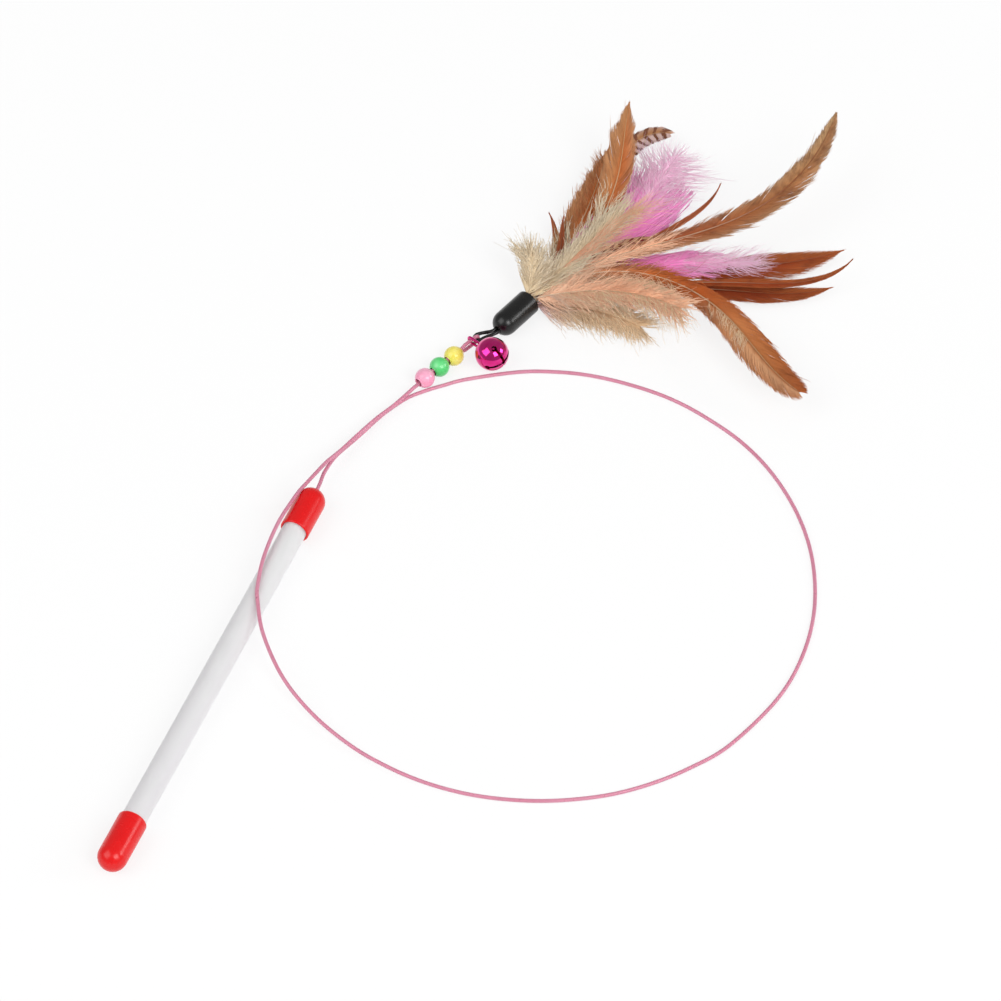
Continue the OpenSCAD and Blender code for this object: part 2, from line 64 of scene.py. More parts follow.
UP = np.array([0.0, 0.0, 1.0])
ALONG_HANDLE = np.array([0.0, 1.0, 0.0])
CAP_R = 5.0
CAP_WALL = 0.84
FLOOR_Z = -CAP_R
TUBE_R = 4.15
TUBE_WALL = 0.9
TUBE_BEVEL = 0.15
REAR_DOME_Y = -7.8
REAR_CAP_LEN = 20.6
FRONT_CAP_LEN = 18.6
TIP_Y = 157.2
WIRE_R = 0.65
CORE_R = 0.3
WIRE_ROOM = 0.05
BEAD_R = 3.4
BEAD_PITCH = 6.95
BEAD_FIRST = 3.55
STRAND_OFF = 0.7
BEAD_END = BEAD_FIRST + 2 * BEAD_PITCH + BEAD_R
EYE_AT = 27.75
EYE_R = 1.35
EYE_LEAD = 0.6
FLARE_GAP = 0.3
FLARE_LEN = 1.8
LINE_TURN = 22.5
LINE_START = np.array([12.3, TIP_Y + 58.1, FLOOR_Z + BEAD_R])
LINE_DIR = heading(LINE_TURN)
LINE_SIDE = heading(LINE_TURN + 90)
EYE_POINT = LINE_START + EYE_AT * LINE_DIR
LURE_TURN = 17.5
LURE_DIR = heading(LURE_TURN)
LURE_SIDE = heading(LURE_TURN + 90)
LURE_R = 4.4
LURE_WALL = 0.8
LURE_LEN = 17.0
LURE_HOLE_R = 1.42
CORD_R = 0.65
CORD_OFF = 0.72
CORD_REACH = 8.2
CORD_TURN = 42.5
LURE_TIP = EYE_POINT + CORD_REACH * heading(CORD_TURN)
LURE_TIP[2] = FLOOR_Z + LURE_R
LURE_MOUTH = LURE_TIP + LURE_R * LURE_DIR + (LURE_LEN - LURE_R) * LURE_DIR
BELL_R = 5.8
BELL_WALL = 0.4
BELL_REACH = 10.0
SHANK_R = 0.45
SHANK_TURN_R = 1.2
SHANK_BACK = 2.0
SHANK_LEG_START = 0.2
SHANK_FOOT_OUT = 0.6
BELL_RISE = math.degrees(math.asin((FLOOR_Z + BELL_R - (LINE_START[2] + EYE_R)) / BELL_REACH))


# Camera

TARGET = np.array([56.922, 180.807, -4.9])
CAM_AZIMUTH = 22.362
CAM_ELEVATION = 50.201
CAM_DISTANCE = 2400.0
FRAME_WIDTH = 335.335
SENSOR = 36.0


def placed(name, data):
    """An object of the data, in the scene."""
    piece = bpy.data.objects.new(name, data)
    bpy.context.scene.collection.objects.link(piece)
    return piece


def aimed(name, data, place):
    """A camera or lamp that looks at the target. Place in mm from it."""
    piece = placed(name, data)
    piece.location = (Vector(TARGET) + Vector(place)) * MM
    piece.rotation_mode = "QUATERNION"
    piece.rotation_quaternion = (-Vector(place)).to_track_quat("-Z", "Y")
    return piece


cam_data = bpy.data.cameras.new("camera")
cam_data.sensor_width = SENSOR
cam_data.lens = SENSOR * CAM_DISTANCE / FRAME_WIDTH
cam_data.clip_start, cam_data.clip_end = 0.1, 50
bpy.context.scene.camera = aimed("camera", cam_data, CAM_DISTANCE * heading(180 - CAM_AZIMUTH, CAM_ELEVATION))


# Materials

def srgb(r, g, b):
    """A colour as it is seen, 0 to 255, in the linear values that shaders take."""
    return tuple((c / 12.92 if c <= 0.04045 else ((c + 0.055) / 1.055) ** 2.4)
                 for c in (r / 255, g / 255, b / 255)) + (1.0,)


def fibre(r, g, b, share=0.1):
    """The colour that single fibres need for a mass of them to be seen so, as light meets many of them."""
    return tuple(c * (1 - share) + share * 4 * c / (1 + c) ** 2 for c in srgb(r, g, b)[:3]) + (1.0,)


def vane(r, g, b):
    """The same for barbs that lie side by side, where light meets only a few."""
    return fibre(r, g, b, 0.05)


class Nodes:
    """A short way to write the node tree of a material or a world."""

    def __init__(self, owner):
        owner.use_nodes = True
        self.owner = owner
        self.tree = owner.node_tree
        self.tree.nodes.clear()

    def add(self, kind, **inputs):
        """A node with its inputs set, by names that have _ for a space. A plain value stays unlinked."""
        node = self.tree.nodes.new("ShaderNode" + kind)
        for name, value in inputs.items():
            self.put(node, name.replace("_", " "), value)
        return node

    def put(self, node, name, value):
        if isinstance(value, bpy.types.NodeSocket):
            self.tree.links.new(value, node.inputs[name])
        else:
            node.inputs[name].default_value = value

    def math(self, how, a, b=0.0):
        node = self.tree.nodes.new("ShaderNodeMath")
        node.operation = how
        self.put(node, 0, a)
        self.put(node, 1, b)
        return node.outputs[0]

    def times(self, a, b):
        return self.math("MULTIPLY", a, b)

    def plus(self, a, b):
        return self.math("ADD", a, b)

    def mix(self, share, a, b):
        node = self.tree.nodes.new("ShaderNodeMix")
        node.data_type = "RGBA"
        for socket, value in ((0, share), (6, a), (7, b)):
            self.put(node, socket, value)
        return node.outputs[2]

    def mix_shaders(self, share, a, b):
        node = self.add("MixShader", Fac=share)
        self.put(node, 1, a.outputs[0])
        self.put(node, 2, b.outputs[0])
        return node

    def spread(self, value, low, high, to_low=0.0, to_high=1.0):
        return self.add("MapRange", Value=value, From_Min=low, From_Max=high,
                        To_Min=to_low, To_Max=to_high).outputs[0]

    def middle(self, noise, to_low=0.0, to_high=1.0):
        """Spreads the range that most of a noise lies in."""
        return self.spread(noise, 0.3, 0.7, to_low, to_high)

    def ramp(self, value, stops):
        node = self.add("ValToRGB", Fac=value)
        while len(node.color_ramp.elements) < len(stops):
            node.color_ramp.elements.new(0.5)
        for element, (at, colour) in zip(node.color_ramp.elements, stops):
            element.position, element.color = at, colour
        return node.outputs[0]

    def noise(self, scale, detail, rough, stretch=(1.0, 1.0, 1.0)):
        where = self.add("Mapping", Vector=self.add("TexCoord").outputs["Object"], Scale=stretch)
        return self.add("TexNoise", Vector=where.outputs[0], Scale=scale, Detail=detail,
                        Roughness=rough).outputs[0]

    def barb(self):
        """Place along the feather, place along the barb, negative at the left, and the barb's own number."""
        attribute = self.tree.nodes.new("ShaderNodeAttribute")
        attribute.attribute_name = "barb"
        return self.add("SeparateXYZ", Vector=attribute.outputs["Vector"]).outputs

    def skin(self, colour, rough, bump=None, **constants):
        """A principled shader. Bump is a height, its strength and its depth in metres."""
        shader = self.add("BsdfPrincipled", Base_Color=colour, Roughness=rough, **constants)
        if bump is not None:
            height, strength, depth = bump
            relief = self.add("Bump", Height=height, Strength=strength, Distance=depth)
            self.put(shader, "Normal", relief.outputs[0])
        return shader

    def finish(self, shader, kind="Material"):
        """Puts the shader on the surface, and gives back the material or world."""
        out = self.tree.nodes.new("ShaderNodeOutput" + kind)
        self.put(out, "Surface", shader.outputs[0])
        return self.owner


def new_material(name):
    return Nodes(bpy.data.materials.new(name))


def soft_vinyl(name, base, light, dark):
    """Dipped vinyl: a smooth, slightly uneven skin with a soft gloss and fine darker flecks."""
    n = new_material(name)
    cloud, fine = n.noise(180.0, 4.0, 0.55), n.noise(2600.0, 2.0, 0.5)
    colour = n.mix(n.middle(cloud), base, light)
    colour = n.mix(n.spread(fine, 0.55, 0.75, 0.0, 0.25), colour, dark)
    return n.finish(n.skin(colour, n.middle(cloud, 0.2, 0.32),
                           (n.plus(cloud, n.times(fine, 0.08)), 0.06, 0.0006), Subsurface_Weight=0.08,
                           Subsurface_Radius=(0.002, 0.0006, 0.0005), Specular_IOR_Level=0.42))


def milky_tube():
    """Milky plastic, faintly streaked along the tube, with light spread inside it."""
    n = new_material("tube")
    streak, fine = n.noise(90.0, 3.0, 0.5, (1.0, 0.06, 1.0)), n.noise(1500.0, 3.0, 0.6)
    colour = n.mix(n.spread(streak, 0.35, 0.65), srgb(233, 228, 234), srgb(243, 240, 243))
    colour = n.mix(n.spread(fine, 0.6, 0.8, 0.0, 0.15), colour, srgb(214, 206, 216))
    return n.finish(n.skin(colour, n.middle(fine, 0.4, 0.52), (fine, 0.06, 0.0003), Subsurface_Weight=0.75,
                           Subsurface_Radius=(0.004, 0.0038, 0.004), Subsurface_Scale=1.0,
                           Specular_IOR_Level=0.35))


def pink_coat():
    """Soft pink coat of the spring wire, let through by the light."""
    n = new_material("pink_wire")
    cloud, fine = n.noise(90.0, 2.0, 0.5), n.noise(1500.0, 2.0, 0.5)
    colour = n.mix(n.middle(cloud), srgb(232, 152, 178), srgb(238, 162, 188))
    return n.finish(n.skin(colour, n.middle(fine, 0.26, 0.38), (fine, 0.08, 0.0002),
                           Transmission_Weight=0.35, IOR=1.45))


def steel(name, base, rough):
    """Drawn metal with a fine grain along it."""
    n = new_material(name)
    grain = n.noise(3000.0, 3.0, 0.6, (1.0, 0.2, 1.0))
    light = tuple(min(1.0, c * 1.25) for c in base[:3]) + (1.0,)
    colour = n.mix(n.middle(grain), base, light)
    return n.finish(n.skin(colour, n.middle(grain, rough, rough + 0.14), (grain, 0.1, 0.0002), Metallic=1.0))


def pearl(name, base, light, deep):
    """Pearly bead: clouded plastic under a clear, glossy skin."""
    n = new_material(name)
    swirl, fine = n.noise(170.0, 2.0, 0.45, (1.0, 1.0, 2.2)), n.noise(1800.0, 3.0, 0.5)
    colour = n.ramp(swirl, [(0.25, deep), (0.5, base), (0.75, light)])
    return n.finish(n.skin(colour, n.middle(fine, 0.28, 0.4), (swirl, 0.05, 0.0004), Subsurface_Weight=0.25,
                           Subsurface_Radius=(0.0015, 0.0015, 0.0015), Coat_Weight=0.5, Coat_Roughness=0.12))


def magenta_chrome():
    """Bright magenta metal under clear lacquer, with fine scratches round the bell."""
    n = new_material("bell")
    cloud, scratch = n.noise(260.0, 3.0, 0.5), n.noise(900.0, 2.0, 0.6, (1.0, 9.0, 1.0))
    colour = n.mix(n.spread(cloud, 0.35, 0.65), srgb(216, 18, 122), srgb(232, 34, 144))
    return n.finish(n.skin(colour, n.spread(scratch, 0.45, 0.75, 0.06, 0.16),
                           (n.plus(cloud, n.times(scratch, 0.1)), 0.05, 0.0006),
                           Metallic=1.0, Coat_Weight=0.6, Coat_Roughness=0.06))


def gloss_black(name):
    n = new_material(name)
    cloud, fine = n.noise(300.0, 4.0, 0.55), n.noise(2800.0, 2.0, 0.5)
    colour = n.mix(n.middle(cloud), srgb(3, 3, 3), srgb(14, 14, 13))
    return n.finish(n.skin(colour, n.middle(fine, 0.24, 0.34),
                           (n.plus(cloud, n.times(fine, 0.2)), 0.12, 0.0005), Specular_IOR_Level=0.5))


def dried_glue():
    n = new_material("glue")
    cloud = n.noise(700.0, 5.0, 0.6)
    colour = n.ramp(cloud, [(0.3, srgb(150, 116, 70)), (0.55, srgb(214, 190, 146)),
                            (0.75, srgb(236, 220, 186))])
    return n.finish(n.skin(colour, n.middle(cloud, 0.2, 0.45), (cloud, 0.5, 0.0006)))


def barbs(name, along, edge, edge_share, dark, bars=None, blotch=0.0, through=0.15, side=None):
    """Barbs coloured by their place: along is the ramp from quill to tip, edge the barbs' ends. Side is a
    sign, a colour, its share on that side of the shaft, and where along the feather it starts."""
    n = new_material(name)
    at, across, own = n.barb()
    out = n.math("ABSOLUTE", across)
    colour = n.ramp(at, along)
    if side is not None:
        sign, other, share, start = side
        there = n.times(n.spread(n.times(across, sign), 0.0, 0.25, 0.0, share),
                        n.spread(at, start, start + 0.15))
        colour = n.mix(there, colour, other)
    cloud = n.noise(160.0, 4.0, 0.6)
    colour = n.mix(n.times(n.math("POWER", out, 1.6), edge_share), colour, edge)
    if blotch:
        colour = n.mix(n.spread(cloud, 0.5, 0.68, 0.0, blotch), colour, dark)
    if bars is not None:
        count, bar = bars
        wave = n.plus(n.times(at, count), n.plus(n.times(out, -0.55), n.times(cloud, 1.1)))
        colour = n.mix(n.spread(n.math("PINGPONG", wave, 0.5), 0.24, 0.32), colour, bar)
    colour = n.mix(n.spread(own, 0.0, 0.7, 0.22, 0.0), colour, dark)
    colour = n.mix(n.spread(own, 0.82, 1.0, 0.0, 0.3), colour, edge)
    shader = n.skin(colour, n.spread(own, 0.0, 1.0, 0.5, 0.68), Sheen_Weight=0.06, Sheen_Roughness=0.4,
                    Specular_IOR_Level=0.22)
    return n.finish(n.mix_shaders(through, shader, n.add("BsdfTranslucent", Color=colour)))


def quill(name, root, tip):
    """Horny shaft, from its root's colour to its tip's, with brown flecks."""
    n = new_material(name)
    fine = n.noise(1200.0, 3.0, 0.5)
    colour = n.mix(n.spread(n.barb()[0], 0.05, 0.75), root, tip)
    colour = n.mix(n.spread(fine, 0.5, 0.75, 0.0, 0.3), colour, srgb(150, 96, 60))
    return n.finish(n.skin(colour, n.middle(fine, 0.32, 0.46), (fine, 0.15, 0.0002), Subsurface_Weight=0.15,
                           Subsurface_Radius=(0.001, 0.0007, 0.0005)))


RED = soft_vinyl("red_cap", srgb(220, 5, 8), srgb(227, 10, 13), srgb(204, 2, 6))
TUBE = milky_tube()
COAT = pink_coat()
CORE = steel("wire_core", srgb(214, 150, 166), 0.3)
CRIMP = steel("crimp", srgb(176, 142, 82), 0.25)
PELLET = steel("pellet", srgb(150, 152, 156), 0.2)
PEARLS = {
    "pink": pearl("bead_pink", srgb(247, 164, 194), srgb(252, 190, 212), srgb(238, 136, 172)),
    "green": pearl("bead_green", srgb(84, 212, 116), srgb(120, 228, 146), srgb(52, 190, 90)),
    "yellow": pearl("bead_yellow", srgb(244, 228, 92), srgb(250, 240, 140), srgb(230, 206, 60))}
BELL = magenta_chrome()
CORD = gloss_black("cord")
BLACK = gloss_black("black_cap")
GLUE = dried_glue()

QUILLS = {
    "pale": quill("quill_pale", srgb(238, 216, 190), srgb(206, 160, 112)),
    "rust": quill("quill_rust", srgb(232, 202, 170), srgb(150, 82, 44)),
    "pink": quill("quill_pink", srgb(240, 206, 206), srgb(240, 150, 196))}
EVERYWHERE = -0.2
CREAM = fibre(241, 217, 178)
LOOKS = {
    "tan": barbs(
        "feather_tan", [(0.12, CREAM), (0.34, vane(220, 164, 106)), (0.5, vane(212, 120, 64)),
                        (0.75, vane(206, 110, 54)), (1.0, vane(212, 140, 88))],
        vane(232, 188, 142), 0.5, vane(156, 80, 38), blotch=0.3,
        side=(-1, vane(226, 166, 108), 0.5, EVERYWHERE)),
    "brown": barbs(
        "feather_brown", [(0.2, vane(206, 116, 70)), (0.5, vane(190, 94, 54)), (1.0, vane(180, 88, 52))],
        vane(208, 136, 92), 0.4, vane(112, 52, 30), blotch=0.3),
    "long": barbs(
        "feather_long_vane", [(0.12, CREAM), (0.26, vane(212, 122, 74)), (0.45, vane(196, 100, 58)),
                              (0.62, vane(196, 118, 68)), (0.8, vane(206, 148, 96)),
                              (1.0, vane(210, 168, 120))],
        vane(228, 190, 146), 0.55, vane(112, 58, 38), blotch=0.5,
        side=(1, vane(178, 102, 54), 0.6, EVERYWHERE)),
    "barred": barbs(
        "feather_barred", [(0.2, vane(222, 190, 150)), (0.7, vane(204, 146, 96)), (1.0, vane(196, 134, 84))],
        vane(246, 216, 208), 0.8, vane(140, 88, 58), bars=(30.0, vane(140, 86, 62)),
        side=(1, vane(250, 222, 216), 0.85, 0.5)),
    "barred_short": barbs(
        "feather_barred_short_vane", [(0.1, CREAM), (1.0, vane(218, 168, 122))],
        vane(230, 184, 160), 0.4, vane(150, 80, 66), bars=(14.0, vane(146, 62, 58))),
    "rust": barbs(
        "feather_rust", [(0.1, vane(222, 142, 88)), (0.45, vane(180, 76, 28)), (0.75, vane(158, 58, 20)),
                         (1.0, vane(176, 84, 38))],
        vane(210, 126, 68), 0.4, vane(114, 44, 18), blotch=0.4,
        side=(-1, vane(206, 116, 56), 0.35, EVERYWHERE)),
    "broad": barbs(
        "feather_broad_vane", [(0.1, fibre(250, 196, 154)), (0.34, vane(222, 120, 58)),
                               (0.52, vane(200, 94, 34)), (0.68, vane(214, 132, 76)),
                               (0.82, vane(206, 124, 68)), (1.0, vane(180, 94, 46))],
        vane(188, 94, 38), 0.5, vane(140, 68, 28), blotch=0.35,
        side=(1, vane(238, 196, 152), 0.55, 0.5)),
    "pink": barbs(
        "feather_pink", [(0.1, fibre(246, 190, 176)), (0.35, fibre(255, 126, 200)),
                         (0.62, fibre(255, 138, 208)), (1.0, fibre(255, 184, 226))],
        fibre(255, 178, 226), 0.45, fibre(250, 96, 184), through=0.05),
    "pink_pale": barbs(
        "down_pink_pale", [(0.0, fibre(250, 190, 190)), (0.5, fibre(255, 176, 216)),
                           (1.0, fibre(255, 208, 234))],
        fibre(255, 232, 243), 0.85, fibre(252, 140, 200), through=0.05),
    "cream": barbs(
        "feather_cream", [(0.0, fibre(230, 202, 160)), (0.4, CREAM), (1.0, CREAM)],
        fibre(250, 238, 216), 0.6, fibre(212, 180, 136), through=0.05),
    "sand": barbs(
        "down_sand", [(0.04, fibre(244, 204, 200)), (0.22, fibre(252, 214, 168)),
                      (1.0, fibre(250, 214, 168))],
        fibre(255, 238, 208), 0.6, fibre(238, 192, 140), through=0.05),
    "peach": barbs(
        "feather_peach", [(0.0, fibre(252, 204, 170)), (0.5, fibre(254, 184, 142)),
                          (1.0, fibre(252, 192, 150))],
        fibre(254, 218, 184), 0.55, fibre(242, 150, 104), through=0.05)}


# Mesh helpers

LATHE_SIDES = 96
MERGE = 1e-7


def link(name, mesh, body, node_names=(), materials=()):
    piece = placed(name, mesh)
    for material in materials:
        mesh.materials.append(material)
    if body:
        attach(piece, body)
    if node_names:
        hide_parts(*node_names)
    return piece


def outward(mesh, sharp=50.0, merge=False):
    """Smooth faces that point out of the closed mesh. Edges sharper than the angle stay sharp."""
    bm = bmesh.new()
    bm.from_mesh(mesh)
    if merge:
        bmesh.ops.remove_doubles(bm, verts=bm.verts, dist=MERGE)
    bmesh.ops.recalc_face_normals(bm, faces=bm.faces)
    for face in bm.faces:
        face.smooth = True
    for edge in bm.edges:
        edge.smooth = len(edge.link_faces) != 2 or edge.calc_face_angle(0) < math.radians(sharp)
    bm.to_mesh(mesh)
    bm.free()


def skin_mesh(name, rings, loop=False):
    """A closed skin over rings of points, an array of rings x sides x 3, in mm. Sides close round.
    In a loop the last ring meets the first, and otherwise a face closes each end."""
    rings = np.asarray(rings, float)
    count, sides, _ = rings.shape
    j, k = np.meshgrid(np.arange(count if loop else count - 1), np.arange(sides), indexing="ij")
    after, beside = (j + 1) % count * sides, (k + 1) % sides
    faces = np.stack([j * sides + k, after + k, after + beside, j * sides + beside], -1)
    faces = faces.reshape(-1, 4).tolist()
    if not loop:
        faces += [list(range(sides)), list(range(count * sides - 1, (count - 1) * sides - 1, -1))]
    mesh = bpy.data.meshes.new(name)
    mesh.from_pydata((rings.reshape(-1, 3) * MM).tolist(), [], faces)
    outward(mesh, merge=loop)
    return mesh


def circle(sides, first, second):
    """Offsets of points round a circle of radius 1, from the first direction towards the second."""
    turns = np.linspace(0, 2 * math.pi, sides, endpoint=False)
    return np.cos(turns)[:, None] * first + np.sin(turns)[:, None] * second


def lathe(name, outline, origin, axis, side=None):
    """A closed outline of (radius, along) turned round the axis. The outline's two ends meet."""
    side = unit(np.cross(axis, UP)) if side is None else side
    outline = np.asarray(outline, float)[:, :, None, None]
    ring = circle(LATHE_SIDES, side, np.cross(side, axis))
    return skin_mesh(name, origin + outline[:, 1] * axis + outline[:, 0] * ring, loop=True)


def arc(cx, cy, r, start, end, steps):
    return [(cx + r * math.cos(math.radians(a)), cy + r * math.sin(math.radians(a)))
            for a in np.linspace(start, end, steps)]


def tube_rings(path, radius, sides=14):
    """Rings round a path, carried along it without twist."""
    path = np.asarray(path, float)
    tangents = unit(np.gradient(path, axis=0))
    normal = unit(np.cross(tangents[0], UP))
    rings = []
    for point, tangent in zip(path, tangents):
        normal = unit(normal - (normal @ tangent) * tangent)
        rings.append(point + radius * circle(sides, normal, np.cross(tangent, normal)))
    return rings


def spline(points, step):
    """Catmull-Rom curve through points, with a point about every step."""
    points = np.asarray(points, float)
    last = len(points) - 1
    made = []
    for i in range(last):
        a, b, c, d = points[max(i - 1, 0)], points[i], points[i + 1], points[min(i + 2, last)]
        pieces = max(1, round(np.linalg.norm(c - b) / step))
        for t in np.arange(pieces) / pieces:
            made.append(0.5 * (2 * b + (c - a) * t + (2 * a - 5 * b + 4 * c - d) * t ** 2
                               + (3 * b - a - 3 * c + d) * t ** 3))
    return np.array(made + [points[last]])


# The wire, from the cap's tip to the beads

# Right, forward and height over the floor, from the front cap's tip, as in the part's source
WIRE_ROUTE = [
    (-0.3, 4, 4.9), (-0.9, 8, 4.6), (-1, 12.5, 4.1), (-0.7, 17.5, 3.4), (0.3, 22, 2.8), (1.8, 27.5, 2.1),
    (3.1, 32.6, 1.5), (4.4, 38, 1), (5.9, 43, 0.7), (8, 48, 0.65), (11, 53.5, 0.65), (15.5, 58.7, 0.65),
    (20, 63, 0.65), (26, 68.3, 0.65), (41, 78, 0.65), (53, 83, 0.65), (65, 86, 0.65), (79, 87.2, 0.65),
    (93, 86.6, 0.65), (107, 83.5, 0.65), (123, 77.5, 0.65), (138, 68, 0.65), (152, 54.5, 0.65),
    (163, 38.5, 0.65), (171, 19, 0.65), (174.3, -1, 0.65), (173, -21, 0.65), (165.5, -44.5, 0.65),
    (157, -58, 0.65), (148, -68.5, 0.65), (138, -77.3, 0.65), (127, -84.2, 0.65), (116, -89.4, 0.65),
    (104, -93.3, 0.65), (92, -95.6, 0.65), (79, -96.2, 0.65), (66, -95, 0.8), (52, -92, 1.3),
    (36, -85.8, 2.5), (21.5, -77.2, 5), (9.2, -65.2, 8.3), (2.2, -53.8, 9.8), (-0.1, -48.5, 10),
    (-2.7, -38.7, 10.1), (-4.1, -28.7, 10.1), (-4.6, -20, 10.1), (-4.3, -13, 10), (-3.8, -5.5, 9.5),
    (-3.2, -1, 8.8), (-2.7, 5, 7.2), (-1.7, 12, 6), (-0.2, 17.5, 5.2), (0.9, 21.5, 4.7), (2.2, 27, 4.1),
    (4.8, 36.7, 3.3), (6.5, 41.7, 2.9), (8.5, 46.7, 2.7), (10.5, 52.7, 2.7)]
WIRE_END = LINE_START - STRAND_OFF * UP
WIRE_LEAD = 1.3
WIRE_STEP = 2.2
WIRE_TAIL_Y = 144.0
TAIL_GAP = 0.02
CORE_SIDES = 8


def wire_coat(name, path, node_names=()):
    return link(name, skin_mesh(name, tube_rings(path, WIRE_R)), "wand", node_names, [COAT])


def wire_core(name, path):
    return link(name, skin_mesh(name, tube_rings(path, CORE_R, CORE_SIDES)), "wand", (), [CORE])


route = [(0, TIP_Y, 0)] + [(x, TIP_Y + y, FLOOR_Z + h) for x, y, h in WIRE_ROUTE]
route += [WIRE_END - WIRE_LEAD * LINE_DIR, WIRE_END]
wire_path = spline(route, WIRE_STEP)
wire = wire_coat("wire_coat", wire_path, ["wire"])
core = wire_core("wire_core", wire_path)
wire_coat("wire_tail", [(0, y, 0) for y in np.linspace(WIRE_TAIL_Y, TIP_Y - TAIL_GAP, 12)])


def eye_half(sign, first):
    """Half of the doubled wire: from a place along the line, through the beads, out to the eye's width."""
    flare_at = BEAD_END + FLARE_GAP
    places = [(x, STRAND_OFF) for x in np.linspace(first, flare_at, 20)]
    for t in np.linspace(0.1, 1, 8):
        ease = t * t * (3 - 2 * t)
        places.append((flare_at + t * FLARE_LEN, STRAND_OFF + ease * (EYE_R - STRAND_OFF)))
    places += [(EYE_AT - 2 * EYE_LEAD, EYE_R), (EYE_AT - EYE_LEAD, EYE_R)]
    return [LINE_START + along * LINE_DIR + sign * off * UP for along, off in places]


# The same wire, doubled back through the beads and bent round the eye
eye_path = eye_half(-1, 0.0)
eye_path += [EYE_POINT + EYE_R * (math.cos(a) * LINE_DIR + math.sin(a) * UP)
             for a in np.radians(np.linspace(-90, 90, 17))]
eye_path += eye_half(1, BEAD_FIRST)[::-1]
wire_coat("eye_coat", eye_path, ["wire_eye"])
wire_core("eye_core", eye_path)


# Handle, caps and beads

def cap_profile(length, r, wall, hole_r=0.0):
    """Outline of a domed cap from its mouth to its dome's end, with a rounded rim."""
    lip = wall / 2
    inner_r = r - wall
    outer = arc(r - lip, lip, lip, 180, 360, 13) + [(r, y) for y in np.linspace(wall, length - r, 11)]
    outer += arc(0, length - r, r, 2, math.degrees(math.acos(hole_r / r)), 22)
    inner = arc(0, length - r, inner_r, math.degrees(math.acos(hole_r / inner_r)), 2, 18)
    return outer + inner + [(inner_r, y) for y in np.linspace(length - r, lip, 8)[:-1]]


def tube_outline():
    """The tube's section, with bevelled edges. It ends where the front cap's dome starts."""
    length = TIP_Y - CAP_R - REAR_DOME_Y
    inner_r, bevel = TUBE_R - TUBE_WALL, TUBE_BEVEL
    end = [(inner_r, bevel), (inner_r + bevel, 0), (TUBE_R - bevel, 0), (TUBE_R, bevel)]
    rows = np.linspace(0, length, 14)[1:-1]
    return (end + [(TUBE_R, y) for y in rows] + [(r, length - y) for r, y in end[::-1]]
            + [(inner_r, y) for y in rows[::-1]])


def bead_outline():
    """A round bead with a rounded edge at each end of its bore and a faint moulding line."""
    bore, edge, inset = STRAND_OFF + WIRE_R + WIRE_ROOM, 0.22, 0.08
    seam, seam_turn = 0.025, 0.9
    reach = math.sqrt(BEAD_R ** 2 - (bore + edge) ** 2)
    start = math.degrees(math.atan2(reach, bore + edge)) - 1.5
    points = arc(bore + edge, inset - reach, edge, 180, 262, 6)
    for a in np.linspace(-start, start, 49):
        points += arc(0, 0, BEAD_R - seam * math.exp(-(a / seam_turn) ** 2), a, a, 1)
    points += arc(bore + edge, reach - inset, edge, 98, 180, 6)
    return points + [(bore, y) for y in np.linspace(reach * 0.7, -reach * 0.7, 8)]


def turned(name, outline, origin, axis, body, node, material):
    return link(name, lathe(name, outline, origin, axis), body, [node], [material])


turned("rear_cap_skin", cap_profile(REAR_CAP_LEN, CAP_R, CAP_WALL),
       (REAR_DOME_Y + REAR_CAP_LEN - CAP_R) * ALONG_HANDLE, -ALONG_HANDLE, "wand", "rear_cap", RED)
turned("front_cap_skin", cap_profile(FRONT_CAP_LEN, CAP_R, CAP_WALL, WIRE_R + WIRE_ROOM),
       (TIP_Y - FRONT_CAP_LEN) * ALONG_HANDLE, ALONG_HANDLE, "wand", "front_cap", RED)
turned("tube_skin", tube_outline(), REAR_DOME_Y * ALONG_HANDLE, ALONG_HANDLE, "wand", "handle_tube",
       TUBE)
for place, (colour, pearly) in enumerate(PEARLS.items()):
    turned(f"bead_{colour}_pearl", bead_outline(), LINE_START + (BEAD_FIRST + place * BEAD_PITCH) * LINE_DIR,
           LINE_DIR, f"{colour}_bead", f"bead_{colour}", pearly)


# Bell

SLOT_ARM = math.radians(62)
SLOT_TURN = 12
SLOT_W = 1.0
SLOT_END_R = 1.0
CUT_INNER_R, HOLE_INNER_R, CUT_OUTER_R = 0.3, 3.0, 7.5
WAIST_TURN, WAIST_LIP, WAIST_GAP = 0.06, 0.02, 0.0348

hang = EYE_POINT - SHANK_BACK * LINE_DIR + EYE_R * UP
bell_x = math.cos(math.radians(BELL_RISE)) * LINE_SIDE + math.sin(math.radians(BELL_RISE)) * UP
bell_axes = np.array([bell_x, LINE_DIR, np.cross(bell_x, LINE_DIR)])
bell_centre = hang + BELL_REACH * bell_x


def half_shell(sign):
    """Outline of a pressed half, with its rim turned at the bell's waist. Along counts from the middle."""
    start, gap = (WAIST_TURN, WAIST_GAP) if sign > 0 else (0.0, 0.0)
    points = [(BELL_R - WAIST_LIP, gap)] + arc(0, 0, BELL_R, start, 90, 28)[1:]
    points += arc(0, 0, BELL_R - BELL_WALL, 90, 0, 20)
    return [(r, sign * y) for r, y in points]


def on_pole(turn, x, y, z):
    """A place measured from the bell's middle, x along its axis, turned round that axis."""
    c, s = math.cos(math.radians(turn)), math.sin(math.radians(turn))
    return bell_centre + np.array([x, c * y - s * z, s * y + c * z]) @ bell_axes


